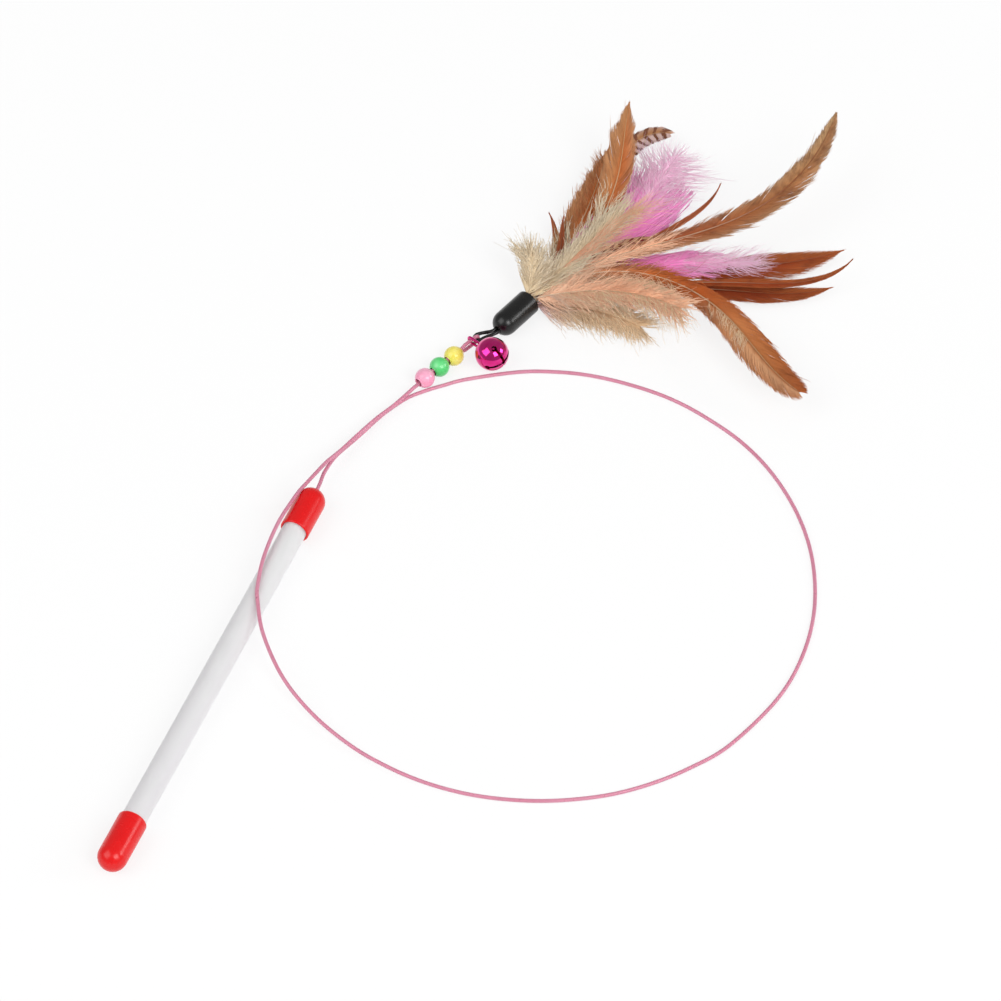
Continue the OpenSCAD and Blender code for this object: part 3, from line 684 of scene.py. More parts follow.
def slot_cutter(turn):
    """A slot over the pole, as one closed cutter."""
    rings = []
    for a in np.linspace(-SLOT_ARM, SLOT_ARM, 41):
        rings.append([on_pole(turn, r * math.cos(a), w, r * math.sin(a)) for r, w in (
            (CUT_INNER_R, -SLOT_W / 2), (CUT_INNER_R, SLOT_W / 2), (CUT_OUTER_R, SLOT_W / 2),
            (CUT_OUTER_R, -SLOT_W / 2))])
    return skin_mesh("cutter", rings)


def hole_cutter(turn, sign):
    """The round hole at one end of a slot, as a closed cutter."""
    c, s = math.cos(SLOT_ARM), sign * math.sin(SLOT_ARM)
    ring = circle(32, np.array([SLOT_END_R, 0.0]), np.array([0.0, SLOT_END_R]))
    return skin_mesh("cutter", [[on_pole(turn, r * c - out * s, y, r * s + out * c) for y, out in ring]
                                for r in (HOLE_INNER_R, CUT_OUTER_R)])


def cut_away(piece, cutters):
    for mesh in cutters:
        cutter = placed("cutter", mesh)
        boolean = piece.modifiers.new("cut", "BOOLEAN")
        boolean.operation, boolean.object, boolean.solver = "DIFFERENCE", cutter, "EXACT"
        bpy.context.view_layer.update()
        made = bpy.data.meshes.new_from_object(piece.evaluated_get(bpy.context.evaluated_depsgraph_get()))
        piece.modifiers.clear()
        old, piece.data = piece.data, made
        made.name = old.name
        bpy.data.meshes.remove(old)
        bpy.data.objects.remove(cutter)
        bpy.data.meshes.remove(mesh)


link("bell_dome", lathe("bell_dome", half_shell(-1), bell_centre, bell_x, LINE_DIR), "bell", ["bell_top"],
     [BELL])
bell_skirt = link("bell_skirt", lathe("bell_skirt", half_shell(1), bell_centre, bell_x, LINE_DIR), None, (),
                  [BELL])
cut_away(bell_skirt, [slot_cutter(SLOT_TURN), slot_cutter(SLOT_TURN + 90)]
         + [hole_cutter(SLOT_TURN + turn, sign) for turn in (0, 90) for sign in (-1, 1)])
outward(bell_skirt.data, sharp=40.0)
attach(bell_skirt, "bell")
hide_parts("bell_bottom")

foot_x = BELL_REACH - math.sqrt((BELL_R - BELL_WALL) ** 2 - (SHANK_TURN_R + SHANK_FOOT_OUT) ** 2) + SHANK_R
leg = [(x, 0, SHANK_TURN_R) for x in np.linspace(SHANK_LEG_START, foot_x, 10)]
shank = [(x, y, -z) for x, y, z in leg[::-1]]
shank += [(-SHANK_TURN_R * math.sin(a), 0, -SHANK_TURN_R * math.cos(a)) for a in np.linspace(0, math.pi, 25)]
shank_path = hang + np.array(shank + leg) @ bell_axes
link("bell_loop", skin_mesh("bell_loop", tube_rings(shank_path, SHANK_R)), "bell", ["bell_shank"],
     [BELL])


# Lure cord and black cap

CORD_PULL = 0.3 * CORD_REACH
CORD_IN = 0.9
CORD_STEP = 0.35
CORD_SIDES = 24
PLAIT = 0.035
PLAIT_TURN = 0.9

cord_bend = EYE_POINT + EYE_R * LINE_DIR


def cord_half(side):
    """One strand of the cord's loop, from its bend in the eye to the cap's hole, as a Bezier curve."""
    a = cord_bend + side * EYE_R * LINE_SIDE
    d = LURE_TIP + side * CORD_OFF * LURE_SIDE
    b, c = a + CORD_PULL * LINE_DIR, d - CORD_PULL * LURE_DIR
    t = np.linspace(0, 1, 17)[:, None]
    return (1 - t) ** 3 * a + 3 * t * (1 - t) ** 2 * b + 3 * t ** 2 * (1 - t) * c + t ** 3 * d


turn_points = [cord_bend - EYE_R * (math.cos(a) * LINE_SIDE + math.sin(a) * LINE_DIR)
               for a in np.radians(np.linspace(0, 180, 17))[1:-1]]
inside = LURE_TIP + CORD_IN * LURE_DIR
cord_path = spline([inside - CORD_OFF * LURE_SIDE, *cord_half(-1)[::-1], *turn_points, *cord_half(1),
                    inside + CORD_OFF * LURE_SIDE], CORD_STEP)
# A fine plait: the cord's surface swells where its strands cross
cord_rings = np.array(tube_rings(cord_path, 1.0, CORD_SIDES))
along_it = np.arange(len(cord_path))[:, None] * PLAIT_TURN
round_it = np.arange(CORD_SIDES)[None] * math.pi / 3
swell = PLAIT * (np.sin(along_it + round_it) + np.sin(round_it - along_it) - 1)
cord_rings = cord_path[:, None] + (cord_rings - cord_path[:, None]) * (CORD_R + swell)[..., None]
cord_piece = link("lure_cord_plait", skin_mesh("lure_cord_plait", cord_rings), None, ["lure_cord"],
                  [CORD])
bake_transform(cord_piece)

turned("lure_cap_skin", cap_profile(LURE_LEN, LURE_R, LURE_WALL, LURE_HOLE_R), LURE_MOUTH, -LURE_DIR, "lure",
       "lure_cap", BLACK)

HIDDEN = {"wire_stop": CRIMP, "bell_pellet": PELLET, "cord_knot": CORD, "glue_plug": GLUE}
for node, material in HIDDEN.items():
    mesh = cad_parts[node].data
    mesh.materials.clear()
    mesh.materials.append(material)


# Feathers

rng = np.random.default_rng(7)
QUILL_PITCH, QUILL_ROW = 1.25, 1.1
QUILL_R = 0.5
DOWN_QUILL_R = 0.22
BUTT_BACK = 9.9
STEPS = 104
TIP_SHARE = 0.65
REST_Z = FLOOR_Z + 0.12
SHAFT_END_SHARE, SHAFT_TIP_SHARE = 0.97, 0.2
VANE, QUILL, DOWN = 0, 1, 2
# Points along each strand, and places at which a vane's outline is taken
VANE_POINTS, PLUME_POINTS, DOWN_POINTS = 8, 10, 9
OUTLINE_PLACES = 600
# Lengths and widths under which no barb of a vane goes, in mm
LEAST_FORWARD, LEAST_OUT, LEAST_THICK = 1.2, 0.15, 0.03
BARB_BEND = 0.75 * math.pi / 2
PLUME_BARBULE, DOWN_BARBULE = 1.3, 0.9


class Shaft:
    """A feather's shaft as the part's source runs it: slot, length and run as there."""

    def __init__(self, slot, length, run):
        self.length = length
        start = LURE_MOUTH + slot[0] * QUILL_PITCH * LURE_SIDE + slot[1] * QUILL_ROW * UP
        self.butt = start - BUTT_BACK * LURE_DIR
        t = (np.arange(STEPS) + 0.5) / STEPS
        turn = LURE_TURN - (run[0] + run[1] * t + run[2] * t ** 2
                            + run[3] * (np.maximum(t - TIP_SHARE, 0) / (1 - TIP_SHARE)) ** 2)
        rise = run[4] + 2 * run[5] * t
        a, e = np.radians(turn), np.radians(rise)
        steps = np.stack([np.sin(a) * np.cos(e), np.cos(a) * np.cos(e), np.sin(e)], -1) * length / STEPS
        self.points = np.vstack([start, start + np.cumsum(steps, 0)])
        self.along = unit(np.gradient(self.points, axis=0))
        self.side = unit(np.cross(self.along, UP))
        self.up = np.cross(self.side, self.along)

    def at(self, t):
        """Point, direction, side and up at shares t of the length. Past the tip it runs straight on."""
        place = np.clip(t, 0, 1) * STEPS
        low = np.minimum(place.astype(int), STEPS - 1)
        share = (place - low)[..., None]

        def between(values):
            return values[low] * (1 - share) + values[low + 1] * share
        along, side, up = unit(between(self.along)), unit(between(self.side)), unit(between(self.up))
        past = (np.maximum(t - 1, 0) * self.length)[..., None]
        return between(self.points) + past * along, along, side, up


class Strands:
    """Collects tapered strands of three sides, and makes one mesh of them."""

    def __init__(self):
        self.verts, self.quads, self.tris, self.barbs = [], [], [], []
        self.count = 0

    def add(self, points, up, width, height, barb, kind=VANE):
        """points n x m x 3, up the same, half widths and heights n x m, barb n x m x 3."""
        n, m, _ = points.shape
        points = points.copy()
        points[..., 2] = np.maximum(points[..., 2], REST_Z)
        along = unit(np.gradient(points, axis=1))
        side = unit(np.cross(along, up))
        above = np.cross(side, along)
        ring = np.stack([points + side * width[..., None], points + above * height[..., None],
                         points - side * width[..., None]], 2)
        first = self.count + np.arange(n) * m * 3
        last = first + (m - 1) * 3
        j, k = 3 * np.arange(m - 1)[:, None], np.arange(3)
        beside = (k + 1) % 3
        quad = np.stack([j + k, j + 3 + k, j + 3 + beside, j + beside], -1)
        self.verts.append(ring.reshape(-1, 3))
        self.quads.append(((first[:, None, None, None] + quad).reshape(-1, 4), n, m, kind))
        self.tris.append(np.concatenate([np.stack([first, first + 1, first + 2], -1),
                                         np.stack([last + 2, last + 1, last], -1)]))
        self.barbs.append(np.repeat(barb[:, :, None], 3, 2).reshape(-1, 3))
        self.count += n * m * 3

    def unwrapped(self):
        """Places of all faces' corners on the bake map, where each strand has a cell of its own."""
        across = math.ceil(math.sqrt(sum(n for _, n, _, _ in self.quads)))
        quad_uv, tri_uv = [], []
        at = 0
        for _, n, m, _ in self.quads:
            cell = at + np.arange(n)
            corner = np.stack([cell % across, cell // across], -1)
            j, k = np.meshgrid(np.arange(m - 1), np.arange(3), indexing="ij")
            u0, u1 = (k + 0.1) / 3.2, (k + 1.0) / 3.2
            v0, v1 = (j + 0.05) / (m + 0.2), (j + 1.0) / (m + 0.2)
            square = np.stack([np.stack(p, -1) for p in ((u0, v0), (u0, v1), (u1, v1), (u1, v0))], -2)
            quad_uv.append(corner[:, None, None, None] + square)
            small = np.array([[0.955, 0.02], [0.985, 0.02], [0.97, 0.05]])
            tri_uv += [corner[:, None] + small + (0, lift) for lift in (0.0, 0.1)]
            at += n
        return np.concatenate([uv.reshape(-1, 2) for uv in quad_uv + tri_uv]) / across

    def mesh(self, name, materials):
        quads = np.concatenate([q for q, *_ in self.quads])
        tris = np.concatenate(self.tris)
        kinds = [np.full(n * (m - 1) * 3, kind) for _, n, m, kind in self.quads]
        kinds += [np.full(2 * n, kind) for _, n, _, kind in self.quads]
        starts = np.concatenate([np.arange(len(quads)) * 4, quads.size + np.arange(len(tris)) * 3])
        corners = np.concatenate([quads.ravel(), tris.ravel()])
        mesh = bpy.data.meshes.new(name)
        mesh.vertices.add(self.count)
        mesh.loops.add(len(corners))
        mesh.polygons.add(len(starts))

        def fill(items, what, values, kind=np.float32):
            items.foreach_set(what, np.concatenate(values).astype(kind).ravel())
        fill(mesh.vertices, "co", [verts * MM for verts in self.verts])
        fill(mesh.loops, "vertex_index", [corners], np.int32)
        fill(mesh.polygons, "loop_start", [starts], np.int32)
        fill(mesh.polygons, "material_index", kinds, np.int32)
        mesh.update(calc_edges=True)
        fill(mesh.uv_layers.new(name="OFBake").uv, "vector", [self.unwrapped()])
        fill(mesh.attributes.new("barb", "FLOAT_VECTOR", "POINT").data, "vector", self.barbs)
        for material in materials:
            mesh.materials.append(material)
        return mesh


def gathered(points, group, share):
    """Draws the strands of each group together towards their ends, as barbs cling in tufts."""
    _, group = np.unique(group, return_inverse=True)
    centre = np.zeros((group.max() + 1,) + points.shape[1:])
    np.add.at(centre, group, points)
    centre /= np.bincount(group)[:, None, None]
    own = share * rng.uniform(0.3, 1.3, len(centre))[group]
    u = np.linspace(0, 1, points.shape[1])
    pull = np.clip(own[:, None] * u[None] ** 1.3, 0, 0.95)[..., None]
    return points * (1 - pull) + centre[group] * pull


def spread_over(rows, columns, *values):
    """Stacks values, each broadcast to rows x columns, as the barb attribute."""
    return np.stack([np.broadcast_to(v, (rows, columns)) for v in values], -1)


def add_shaft(strands, shaft, radius):
    """The quill and shaft: a tapered rod of six sides, straight in its slot."""
    t = np.linspace(0, SHAFT_END_SHARE, 60)
    points, _, _, up = shaft.at(t)
    points, up = np.vstack([shaft.butt, points]), np.vstack([UP, up])
    taper = radius * np.concatenate([[1.0], (1 - t) ** 0.9 * (1 - SHAFT_TIP_SHARE) + SHAFT_TIP_SHARE])
    barb = spread_over(1, len(points), np.concatenate([[0.0], t]), 0.0, 0.5)
    for flip in (1, -1):
        strands.add(points[None], flip * up[None], (taper * 0.85)[None], taper[None], barb, QUILL)


def vane_share(vane, t):
    """The vane's width as a share of its widest, at a share of the length. Bare is where it starts."""
    bare, widest, blunt = vane
    along = np.clip((t - bare) / (1 - bare), 1e-6, 0.999)
    skew = math.log(0.5) / math.log(widest)
    return np.where(t <= bare, 0.0, np.sin(np.pi * along ** skew) ** blunt)


def add_vane(strands, shaft, halves, vane, pitch=0.3, lean=(36, 24), splits=5, clump=0.3, uneven=0.05,
             cup=0.1, drop=0.0, body=1.0, cover=1.5, loose=0.0, wave=0.0):
    """Two rows of barbs, side by side, that lean towards the tip and clump between a few splits.
    The barbs' tips lie on the vane's outline. Halves are its widths left and right of the shaft."""
    length = shaft.length
    for side, half in zip((-1, 1), halves):
        tip_at = np.linspace(vane[0], 1, OUTLINE_PLACES)
        out = half * vane_share(vane, tip_at)
        slope = np.tan(np.radians(np.interp(tip_at, [vane[0], 1], lean)))
        root_at = np.maximum.accumulate(tip_at - out / slope / length) + np.linspace(0, 1e-5, OUTLINE_PLACES)
        n = max(8, int(length * (root_at[-1] - root_at[0]) / pitch))
        root = root_at[0] + (root_at[-1] - root_at[0]) * (np.arange(n) + 0.5) / n
        tip = np.interp(root, root_at, tip_at)
        lat = body * np.interp(root, root_at, out)
        cuts = np.sort(rng.uniform(vane[0], 1, splits + rng.integers(0, 3)))
        edges = np.concatenate([[root[0] - 1e-6], cuts[cuts > root[0]], [1.01]])
        group = np.searchsorted(edges, root) - 1
        span = edges[group + 1] - edges[group]
        inside = (root - edges[group]) / span
        strength = rng.uniform(0.1, 1, len(edges))[group] * clump
        swing = strength * (1 - 2 * inside) * np.minimum(1, span * length / 10)
        forward = np.maximum((tip - root) * length * body, LEAST_FORWARD + 0.8 * rng.random(n))
        lat = np.maximum(lat, LEAST_OUT) * (1 + uneven * rng.standard_normal(n))
        stray = rng.random(n) < loose
        lat = np.where(stray, lat * rng.uniform(1.05, 1.3, n), lat)
        forward = forward * (1 + 0.5 * swing + 0.02 * rng.standard_normal(n)
                             + 0.25 * stray * rng.standard_normal(n))
        u = np.linspace(0, 1, VANE_POINTS)[None]
        lateral = lat[:, None] * np.sin(u * BARB_BEND) / math.sin(BARB_BEND)
        at = root[:, None] + forward[:, None] * u ** 1.12 / length
        points, _, across, up = shaft.at(at)
        tilt = rng.uniform(-0.4, 0.4, len(edges))[group][:, None] + 0.04 * rng.standard_normal((n, 1))
        height = drop - cup * lat[:, None] * u ** 2 + 0.25 * tilt * u * np.minimum(lat[:, None], 3)
        height = height + wave * np.sin(root[:, None] * 31 + 2 * side) * u ** 1.5 + stray[:, None] * 0.6 * u
        points = points + side * lateral[..., None] * across + height[..., None] * up
        angle = np.interp(root, [vane[0], 1], np.radians(lean))[:, None]
        half_wide = 0.5 * cover * pitch * np.sin(angle) * (1.05 - 0.4 * u ** 2)
        half_wide = np.where(u > 0.99, half_wide * 0.3, half_wide)
        own = 0.6 * rng.random((n, 1)) + 0.4 * rng.random(len(edges))[group][:, None]
        strands.add(points, up, half_wide, np.maximum(half_wide * 0.4, LEAST_THICK),
                    spread_over(n, VANE_POINTS, at, side * u, own))


def add_feather(strands, shaft, halves, vane, **how):
    """A vane over a closer, wider layer of barbs that keeps the light from falling through it."""
    add_vane(strands, shaft, halves, vane, **how)
    add_vane(strands, shaft, halves, vane, **dict(how, pitch=0.8, body=0.9, drop=-0.14, cover=1.8, loose=0.0,
                                                  clump=0.5 * how.get("clump", 0.3)))


def add_strands(strands, points, up, at, u, thick, flat, kind, thin=1.0):
    """Strands that taper from one half thickness to another, each with a number of its own."""
    n, m, _ = points.shape
    own = rng.random((n, 1))
    width = (thick[0] + (thick[1] - thick[0]) * u) * thin * np.ones((n, 1))
    strands.add(points, up, width, width * flat, spread_over(n, m, at, u, own), kind)
    return own


def add_barbules(strands, points, up, root_at, own, each, size, thick, kind):
    """Short fine hairs that stand off each strand, forward and out."""
    if not each:
        return
    n, m, _ = points.shape
    seg = rng.integers(1, m - 1, (n, each))
    share = rng.random((n, each, 1))
    rows = np.arange(n)[:, None]
    root = points[rows, seg] * (1 - share) + points[rows, seg + 1] * share
    forward = unit(points[rows, seg + 1] - points[rows, seg])
    away = rng.standard_normal((n, each, 3)) * (1, 1, 0.6)
    away = unit(away - (away * forward).sum(-1, keepdims=True) * forward)
    tip = root + size * rng.uniform(0.5, 1, (n, each, 1)) * unit(1.1 * forward + away)
    both = np.stack([root, tip], 2).reshape(-1, 2, 3)
    above = np.broadcast_to(up[:, None, None], (n, each, 2, 3)).reshape(-1, 2, 3)
    hair = np.broadcast_to(thick * np.array([[1.4, 0.42]]), (n * each, 2))
    barb = np.stack([root_at[rows, seg], (seg + share[..., 0]) / (m - 1), np.repeat(own, each, 1)], -1)
    strands.add(both, above, hair, hair * 0.6, np.repeat(barb.reshape(-1, 1, 3), 2, 1), kind)


def add_plume(strands, shaft, count, halves, ends, back, depth, waves=0.5, thick=(0.1, 0.04), barbules=3,
              flat=0.25, front=0.06, wisps=0.12, wisp_reach=0.2, lift=0.0, clump=0.3, kind=VANE):
    """Soft strands that leave the shaft, curve forward and end in a broad front.
    Halves are the plume's widths left and right, ends the shares where strands end, back their lengths."""
    length = shaft.length
    lateral_end = rng.uniform(-halves[0], halves[1], count)
    off = np.abs(lateral_end) / np.where(lateral_end < 0, halves[0], halves[1])
    tip = ends[0] + (ends[1] - ends[0]) * rng.random(count) ** 0.7 - front * off ** 2
    wisp = rng.random(count) < wisps
    stretch = 1 + wisp * wisp_reach * rng.random(count)
    root = np.maximum(tip - rng.uniform(*back, count) / length, 0.02 + 0.1 * rng.random(count))
    u = np.linspace(0, 1, PLUME_POINTS)[None]
    bend = rng.uniform(0.5, 0.95, (count, 1)) * math.pi / 2
    out = (lateral_end * stretch)[:, None] * np.sin(u * bend) / np.sin(bend)
    at = root[:, None] + ((tip - root) * stretch)[:, None] * u
    points, _, across, up = shaft.at(at)
    high = depth * rng.standard_normal((count, 1)) * np.sqrt(np.maximum(1 - 0.7 * off ** 2, 0.1))[:, None]
    wobble = [waves * u * (np.sin(u * rng.uniform(3, 7, (count, 1)) + rng.uniform(0, 6.3, (count, 1)))
                           - np.sin(rng.uniform(0, 6.3, (count, 1))) * 0.3) for _ in range(2)]
    points = points + (out + wobble[0])[..., None] * across
    points = points + (high * u ** 0.8 + 0.5 * wobble[1] + lift * u)[..., None] * up
    points = gathered(points, np.floor(lateral_end / 1.5) + 40 * np.floor(tip * length / 5), clump)
    own = add_strands(strands, points, up, at, u, thick, flat, kind, np.where(wisp, 0.7, 1.0)[:, None])
    add_barbules(strands, points, up[:, 0], at, own, barbules, PLUME_BARBULE, thick[1], kind)


def add_down(strands, shaft, count, reach, span, lean, around=30.0, curl=0.4, thick=(0.1, 0.04),
             sides=(-1, 1), droop=0.0, barbules=3, shrink=0.0, clump=0.3, kind=VANE, follow=0.5, flat=0.25,
             drop=0.0):
    """Loose barbs of down that leave the shaft, bend towards its tip, cling in tufts and carry barbules."""
    root = span[0] + (span[1] - span[0]) * rng.random(count)
    start, along, across, up = shaft.at(root)
    side = rng.choice(sides, count)
    leave = np.radians(rng.uniform(*lean, count))
    turn = np.radians(rng.normal(0, around / 2, count))
    out = side[:, None] * np.cos(turn)[:, None] * across + np.sin(turn)[:, None] * up
    aim = np.cos(leave)[:, None] * along + np.sin(leave)[:, None] * out
    size = reach * rng.uniform(0.5, 1.0, count) * (1 - shrink * (root - span[0]) / (span[1] - span[0]))
    bend = rng.standard_normal((count, 3)) * curl / 2 + follow * along - droop * UP
    ripple = rng.standard_normal((count, 3)) * 0.05
    phase = rng.uniform(0, 6.28, (count, 1, 1))
    u = np.linspace(0, 1, DOWN_POINTS)[None, :, None]
    points = start[:, None] + size[:, None, None] * (
        u * aim[:, None] + 0.5 * u ** 2 * bend[:, None] + ripple[:, None] * np.sin(u * 9 + phase) * u)
    lanes = np.floor(leave * 5) + 10 * np.floor(turn * 2)
    tufts = side * (1 + np.floor(root * shaft.length / 1.6)) + 1000 * lanes
    points = gathered(points, tufts, clump) - drop * UP
    at = np.broadcast_to(root[:, None], points.shape[:2])
    own = add_strands(strands, points, np.broadcast_to(up[:, None], points.shape), at, u[..., 0], thick, flat,
                      kind)
    add_barbules(strands, points, up, at, own, barbules, DOWN_BARBULE, thick[1], kind)


def layer(add, *sizes, **how):
    """A layer of barbs that is still to be added to a feather's strands along its shaft."""
    return lambda strands, shaft: add(strands, shaft, *sizes, **how)


def vanes(halves, vane, **how):
    return layer(add_feather, halves, vane, **how)


def bed(*sizes, **how):
    """The closed body of a plume."""
    return layer(add_plume, *sizes, **how, waves=0.1, lift=-0.3, thick=(0.5, 0.12), barbules=0, clump=0.0,
                 flat=0.5, wisps=0.0)


def plume(*sizes, **how):
    return layer(add_plume, *sizes, **how)


def down(*sizes, **how):
    return layer(add_down, *sizes, **how)


def wide(*sizes, **how):
    """Broad barbs of down, close together."""
    return down(*sizes, **how, thick=(0.4, 0.06), barbules=0, clump=0.08, flat=0.5, around=3.0, curl=0.25)


def fine(*sizes, **how):
    """Loose, fine barbs of down with barbules."""
    return down(*sizes, **how, clump=0.15, curl=0.5)


# Each feather's layers. A vane has its widths left and right of the shaft, then where it starts, where it is
# widest and how blunt it is. A plume has its count, its widths, the shares where strands end, their lengths
# and its depth. Down has its count, reach, span of the shaft and lean in degrees.
SLIVER = [vanes((1.3, 1.1), (0.35, 0.5, 0.8), lean=(16, 11), clump=0.1, splits=2)]
LAYERS = {
    "feather_tan_front": [
        vanes((6.2, 4.6), (0.34, 0.57, 0.75), lean=(30, 15), clump=0.8, splits=9, loose=0.06),
        wide(260, 14, (0.12, 0.48), (12, 28), follow=0.3, kind=DOWN, drop=0.3),
        fine(110, 15, (0.12, 0.5), (12, 30), follow=0.3, kind=DOWN),
        fine(140, 9, (0.03, 0.3), (20, 45), kind=DOWN)],
    "feather_tan_back": [
        vanes((6.6, 6.0), (0.28, 0.5, 0.8), lean=(36, 20), clump=0.5, loose=0.14),
        down(300, 13, (0.22, 0.92), (24, 46), around=10, follow=0.1, sides=(-1,), shrink=0.4,
             thick=(0.14, 0.03), barbules=2),
        wide(260, 11, (0.03, 0.4), (20, 50), kind=DOWN)],
    "feather_sliver_left": SLIVER,
    "feather_sliver_mid": SLIVER,
    "feather_barred": [
        vanes((3.4, 3.9), (0.3, 0.84, 0.3), lean=(40, 48), clump=0.12, splits=3, cup=0.2)],
    "feather_barred_short": [vanes((2.2, 2.2), (0.2, 0.6, 0.5), lean=(34, 34), clump=0.2)],
    "plume_pink_upper": [
        bed(640, (12, 14), (0.45, 0.9), (20, 44), 0.15, front=0.05),
        plume(80, (13, 15), (0.6, 0.95), (18, 34), 0.2, waves=0.4, wisps=0.2, wisp_reach=0.3,
              thick=(0.12, 0.03), barbules=2),
        plume(420, (15, 18), (0.8, 1.06), (5, 13), 0.4, waves=0.6, wisps=0.3, wisp_reach=0.4, front=0.08,
              thick=(0.17, 0.02), barbules=1, kind=DOWN, clump=0.15, flat=0.5),
        wide(160, 9, (0.04, 0.4), (15, 50))],
    "feather_sliver_pink": SLIVER,
    "feather_long": [
        vanes((4.8, 5.2), (0.22, 0.55, 0.55), lean=(27, 20), clump=0.7, loose=0.06, splits=9, wave=0.4,
              uneven=0.08),
        wide(220, 11, (0.03, 0.36), (12, 30), kind=DOWN),
        fine(90, 12, (0.03, 0.4), (12, 34), kind=DOWN)],
    "plume_pink_lower": [
        bed(380, (6, 7), (0.35, 0.86), (16, 36), 0.15),
        plume(60, (7, 8), (0.5, 0.9), (16, 30), 0.2, waves=0.4, wisps=0.2, wisp_reach=0.3,
              thick=(0.12, 0.03), barbules=2),
        plume(260, (9, 6), (0.72, 1.06), (5, 14), 0.6, waves=0.9, wisps=0.3, wisp_reach=0.4,
              thick=(0.14, 0.02), barbules=2, kind=DOWN, clump=0.25, flat=0.5),
        wide(120, 9, (0.04, 0.4), (15, 50))],
    "feather_rust_upper": [
        vanes((5.6, 7.0), (0.38, 0.62, 0.95), lean=(26, 12), clump=0.15, splits=3)],
    "feather_rust_curved": [
        vanes((2.0, 2.0), (0.42, 0.5, 0.9), lean=(16, 10), clump=0.12, splits=3)],
    "feather_rust_lower": [
        vanes((4.4, 4.6), (0.35, 0.6, 0.85), lean=(24, 13), clump=0.2, splits=3)],
    "feather_broad": [
        vanes((6.4, 6.4), (0.26, 0.72, 0.32), lean=(34, 25), clump=0.3, splits=8, loose=0.03, wave=0.25),
        wide(420, 17, (0.06, 0.44), (40, 70), sides=(1,), follow=0.3, kind=DOWN, droop=0.1, drop=0.5),
        fine(160, 19, (0.06, 0.44), (40, 70), sides=(1,), follow=0.3, kind=DOWN, droop=0.1),
        wide(260, 13, (0.1, 0.42), (12, 30), follow=0.3),
        fine(80, 14, (0.1, 0.42), (12, 34), follow=0.3),
        fine(90, 7, (0.56, 0.74), (40, 70), sides=(1,), kind=DOWN)],
    "down_upper": [
        wide(520, 13, (0.02, 0.95), (10, 36), follow=0.2, shrink=0.2, drop=0.3),
        fine(240, 16, (0.02, 0.98), (10, 40), follow=0.2, shrink=0.2),
        fine(240, 19, (0.35, 0.98), (8, 34), follow=0.2, sides=(1,), kind=DOWN)],
    "down_left": [
        wide(340, 9, (0.05, 0.9), (12, 55)),
        fine(180, 11, (0.05, 0.95), (12, 60), around=50)],
    "down_lower": [
        wide(620, 13, (0.03, 0.95), (25, 78), sides=(-1, 1, 1), shrink=0.3),
        fine(280, 15, (0.03, 0.98), (25, 78), sides=(-1, 1, 1), shrink=0.3)],
    "down_peach": [
        wide(520, 14, (0.03, 0.95), (14, 60), shrink=0.3, drop=0.3),
        fine(240, 17, (0.03, 0.95), (12, 60), follow=0.2, shrink=0.3),
        fine(240, 14, (0.1, 0.95), (35, 75), sides=(1,), kind=DOWN)]}

# Slot, length and run as in the part's source, then the material slot, and the looks of barbs, quill and down
FEATHERS = {
    "feather_tan_front": ((-0.5, 1), 88, (-11.5, 44, 21.5, -25, 9, 2), "tan", "tan", "pale", "cream"),
    "feather_tan_back": ((-0.5, -1), 71, (4, 29, -7, 0, 4, 2), "tan", "tan", "pale", "cream"),
    "feather_sliver_left": ((-1.5, -1), 41, (0.5, 35, 28, -3, 3, 0), "brown", "brown", "rust", "cream"),
    "feather_sliver_mid": ((-2, 0), 38, (-9, 40, 29, -27, 5, 0), "brown", "brown", "rust", "cream"),
    "feather_barred": ((-1, -2), 97, (-11, 74, -23, -118, 1, 2), "barred", "barred", "pale", "cream"),
    "feather_barred_short": ((-1, 0), 49, (-10, -22, 0, -20, 9, 0), "barred", "barred_short", "pale",
                             "cream"),
    "plume_pink_upper": ((0, 0), 82, (-8, -25, 72, -35, 5, 1), "pink", "pink", "pink", "pink_pale"),
    "feather_sliver_pink": ((1, 0), 81, (-21, 6, -5.5, 41, 7, 0), "brown", "brown", "rust", "cream"),
    "feather_long": ((0.5, 1), 134, (-5, -179, 245, -38, 9, 0), "brown", "long", "rust", "peach"),
    "plume_pink_lower": ((2, 0), 82, (-28, 22, -83, 41, 4, 0), "pink", "pink", "pink", "pink_pale"),
    "feather_rust_upper": ((0, -2), 111, (-26, -49, 33, 15, 1, 0), "rust", "rust", "rust", "peach"),
    "feather_rust_curved": ((0.5, -1), 114, (-31.5, -50, 22, 63, 2.5, 0), "rust", "rust", "rust", "peach"),
    "feather_rust_lower": ((1, -2), 104, (-29.5, -50, 14, 37, 0.5, 0), "rust", "rust", "rust", "peach"),
    "feather_broad": ((1.5, 1), 121, (-2.5, -226, 105, 37, 8, -5), "tan", "broad", "pale", "sand"),
    "down_upper": ((0, 2), 44, (-13.5, 28, -26, -10, 15, 0), "cream", "cream", "pale", "peach"),
    "down_left": ((-1, 2), 14, (4, 53, 9, 28, 34, 0), "cream", "cream", "pale", "cream"),
    "down_lower": ((1.5, -1), 40, (-40, -70, 30, 0, 0, 0), "cream", "sand", "pale", "sand"),
    "down_peach": ((1, 2), 57, (-47, -28, -20, 8, 17, -5), "peach", "peach", "pale", "sand")}

for node, (quill_slot, length, run, slot, look, horn, fluff) in FEATHERS.items():
    shaft = Shaft(quill_slot, length, run)
    strands = Strands()
    add_shaft(strands, shaft, DOWN_QUILL_R if node.startswith("down") else QUILL_R)
    for add_layer in LAYERS[node]:
        add_layer(strands, shaft)
    mesh = strands.mesh(node + "_barbs", [LOOKS[look], QUILLS[horn], LOOKS[fluff]])
    link(node + "_barbs", mesh, "lure", [node])


# Floor, backdrop and light

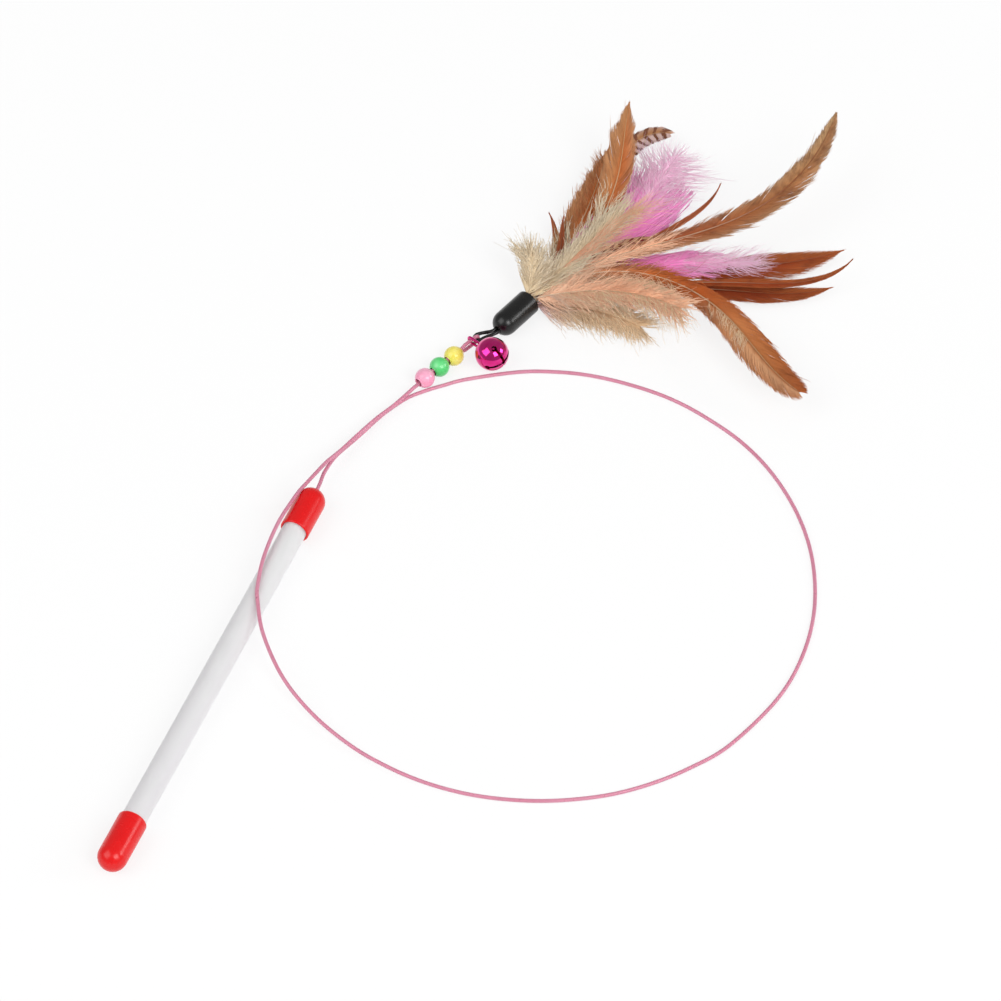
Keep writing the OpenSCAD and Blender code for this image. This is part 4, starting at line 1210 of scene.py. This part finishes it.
# Half the floor's width, and the distances between which it turns white, in metres
FLOOR_REACH = 6.0
NEAR, FAR = 0.6, 3.0
SHADOW_SHARE = 0.2


def pale_floor():
    """Shaded white that the camera, gloss and glass see almost at full white, with the shadows kept.
    The camera sees the white through it, so a lure that hangs lower than the floor still shows.
    Far from the object it is all white, so no edge shows against the backdrop."""
    n = new_material("floor")
    path = n.add("LightPath").outputs
    seen = n.math("MAXIMUM", path["Is Camera Ray"],
                  n.math("MAXIMUM", path["Is Glossy Ray"], path["Is Transmission Ray"]))
    white = n.mix_shaders(path["Is Camera Ray"], n.add("Emission", Color=(1, 1, 1, 1), Strength=1.0),
                          n.add("BsdfTransparent", Color=(1, 1, 1, 1)))
    distance = n.add("VectorMath")
    distance.operation = "LENGTH"
    n.put(distance, 0, n.add("NewGeometry").outputs["Position"])
    clear = n.spread(distance.outputs["Value"], NEAR, FAR, 1 - SHADOW_SHARE, 1.0)
    lit = n.add("BsdfDiffuse", Color=(0.95, 0.95, 0.95, 1))
    return n.finish(n.mix_shaders(n.times(seen, clear), lit, white))


floor_mesh = bpy.data.meshes.new("floor")
floor_mesh.from_pydata([(x * FLOOR_REACH, y * FLOOR_REACH, FLOOR_Z * MM)
                        for x, y in ((-1, -1), (1, -1), (1, 1), (-1, 1))], [], [(0, 1, 2, 3)])
floor_mesh.materials.append(pale_floor())
placed("floor", floor_mesh)

w = Nodes(bpy.data.worlds.new("studio"))
path = w.add("LightPath").outputs
bpy.context.scene.world = w.finish(w.mix_shaders(
    w.math("MAXIMUM", path["Is Camera Ray"], path["Is Transmission Ray"]),
    w.add("Background", Color=(1, 1, 1, 1), Strength=0.42),
    w.add("Background", Color=(1, 1, 1, 1), Strength=1.0)), "World")

# Soft square lamps: place in mm from the target, size in mm and power
LAMPS = {"key": ((1890, -1080, 2070), 1500, 41.0), "fill": ((-1450, -1550, 2120), 2300, 37.0),
         "rim": ((2460, 1140, 1260), 900, 17.0)}
for name, (place, size, power) in LAMPS.items():
    lamp = bpy.data.lights.new(name, "AREA")
    lamp.shape, lamp.size, lamp.energy = "SQUARE", size * MM, power
    aimed(name, lamp, place)

scene = bpy.context.scene
scene.view_settings.view_transform = "Standard"
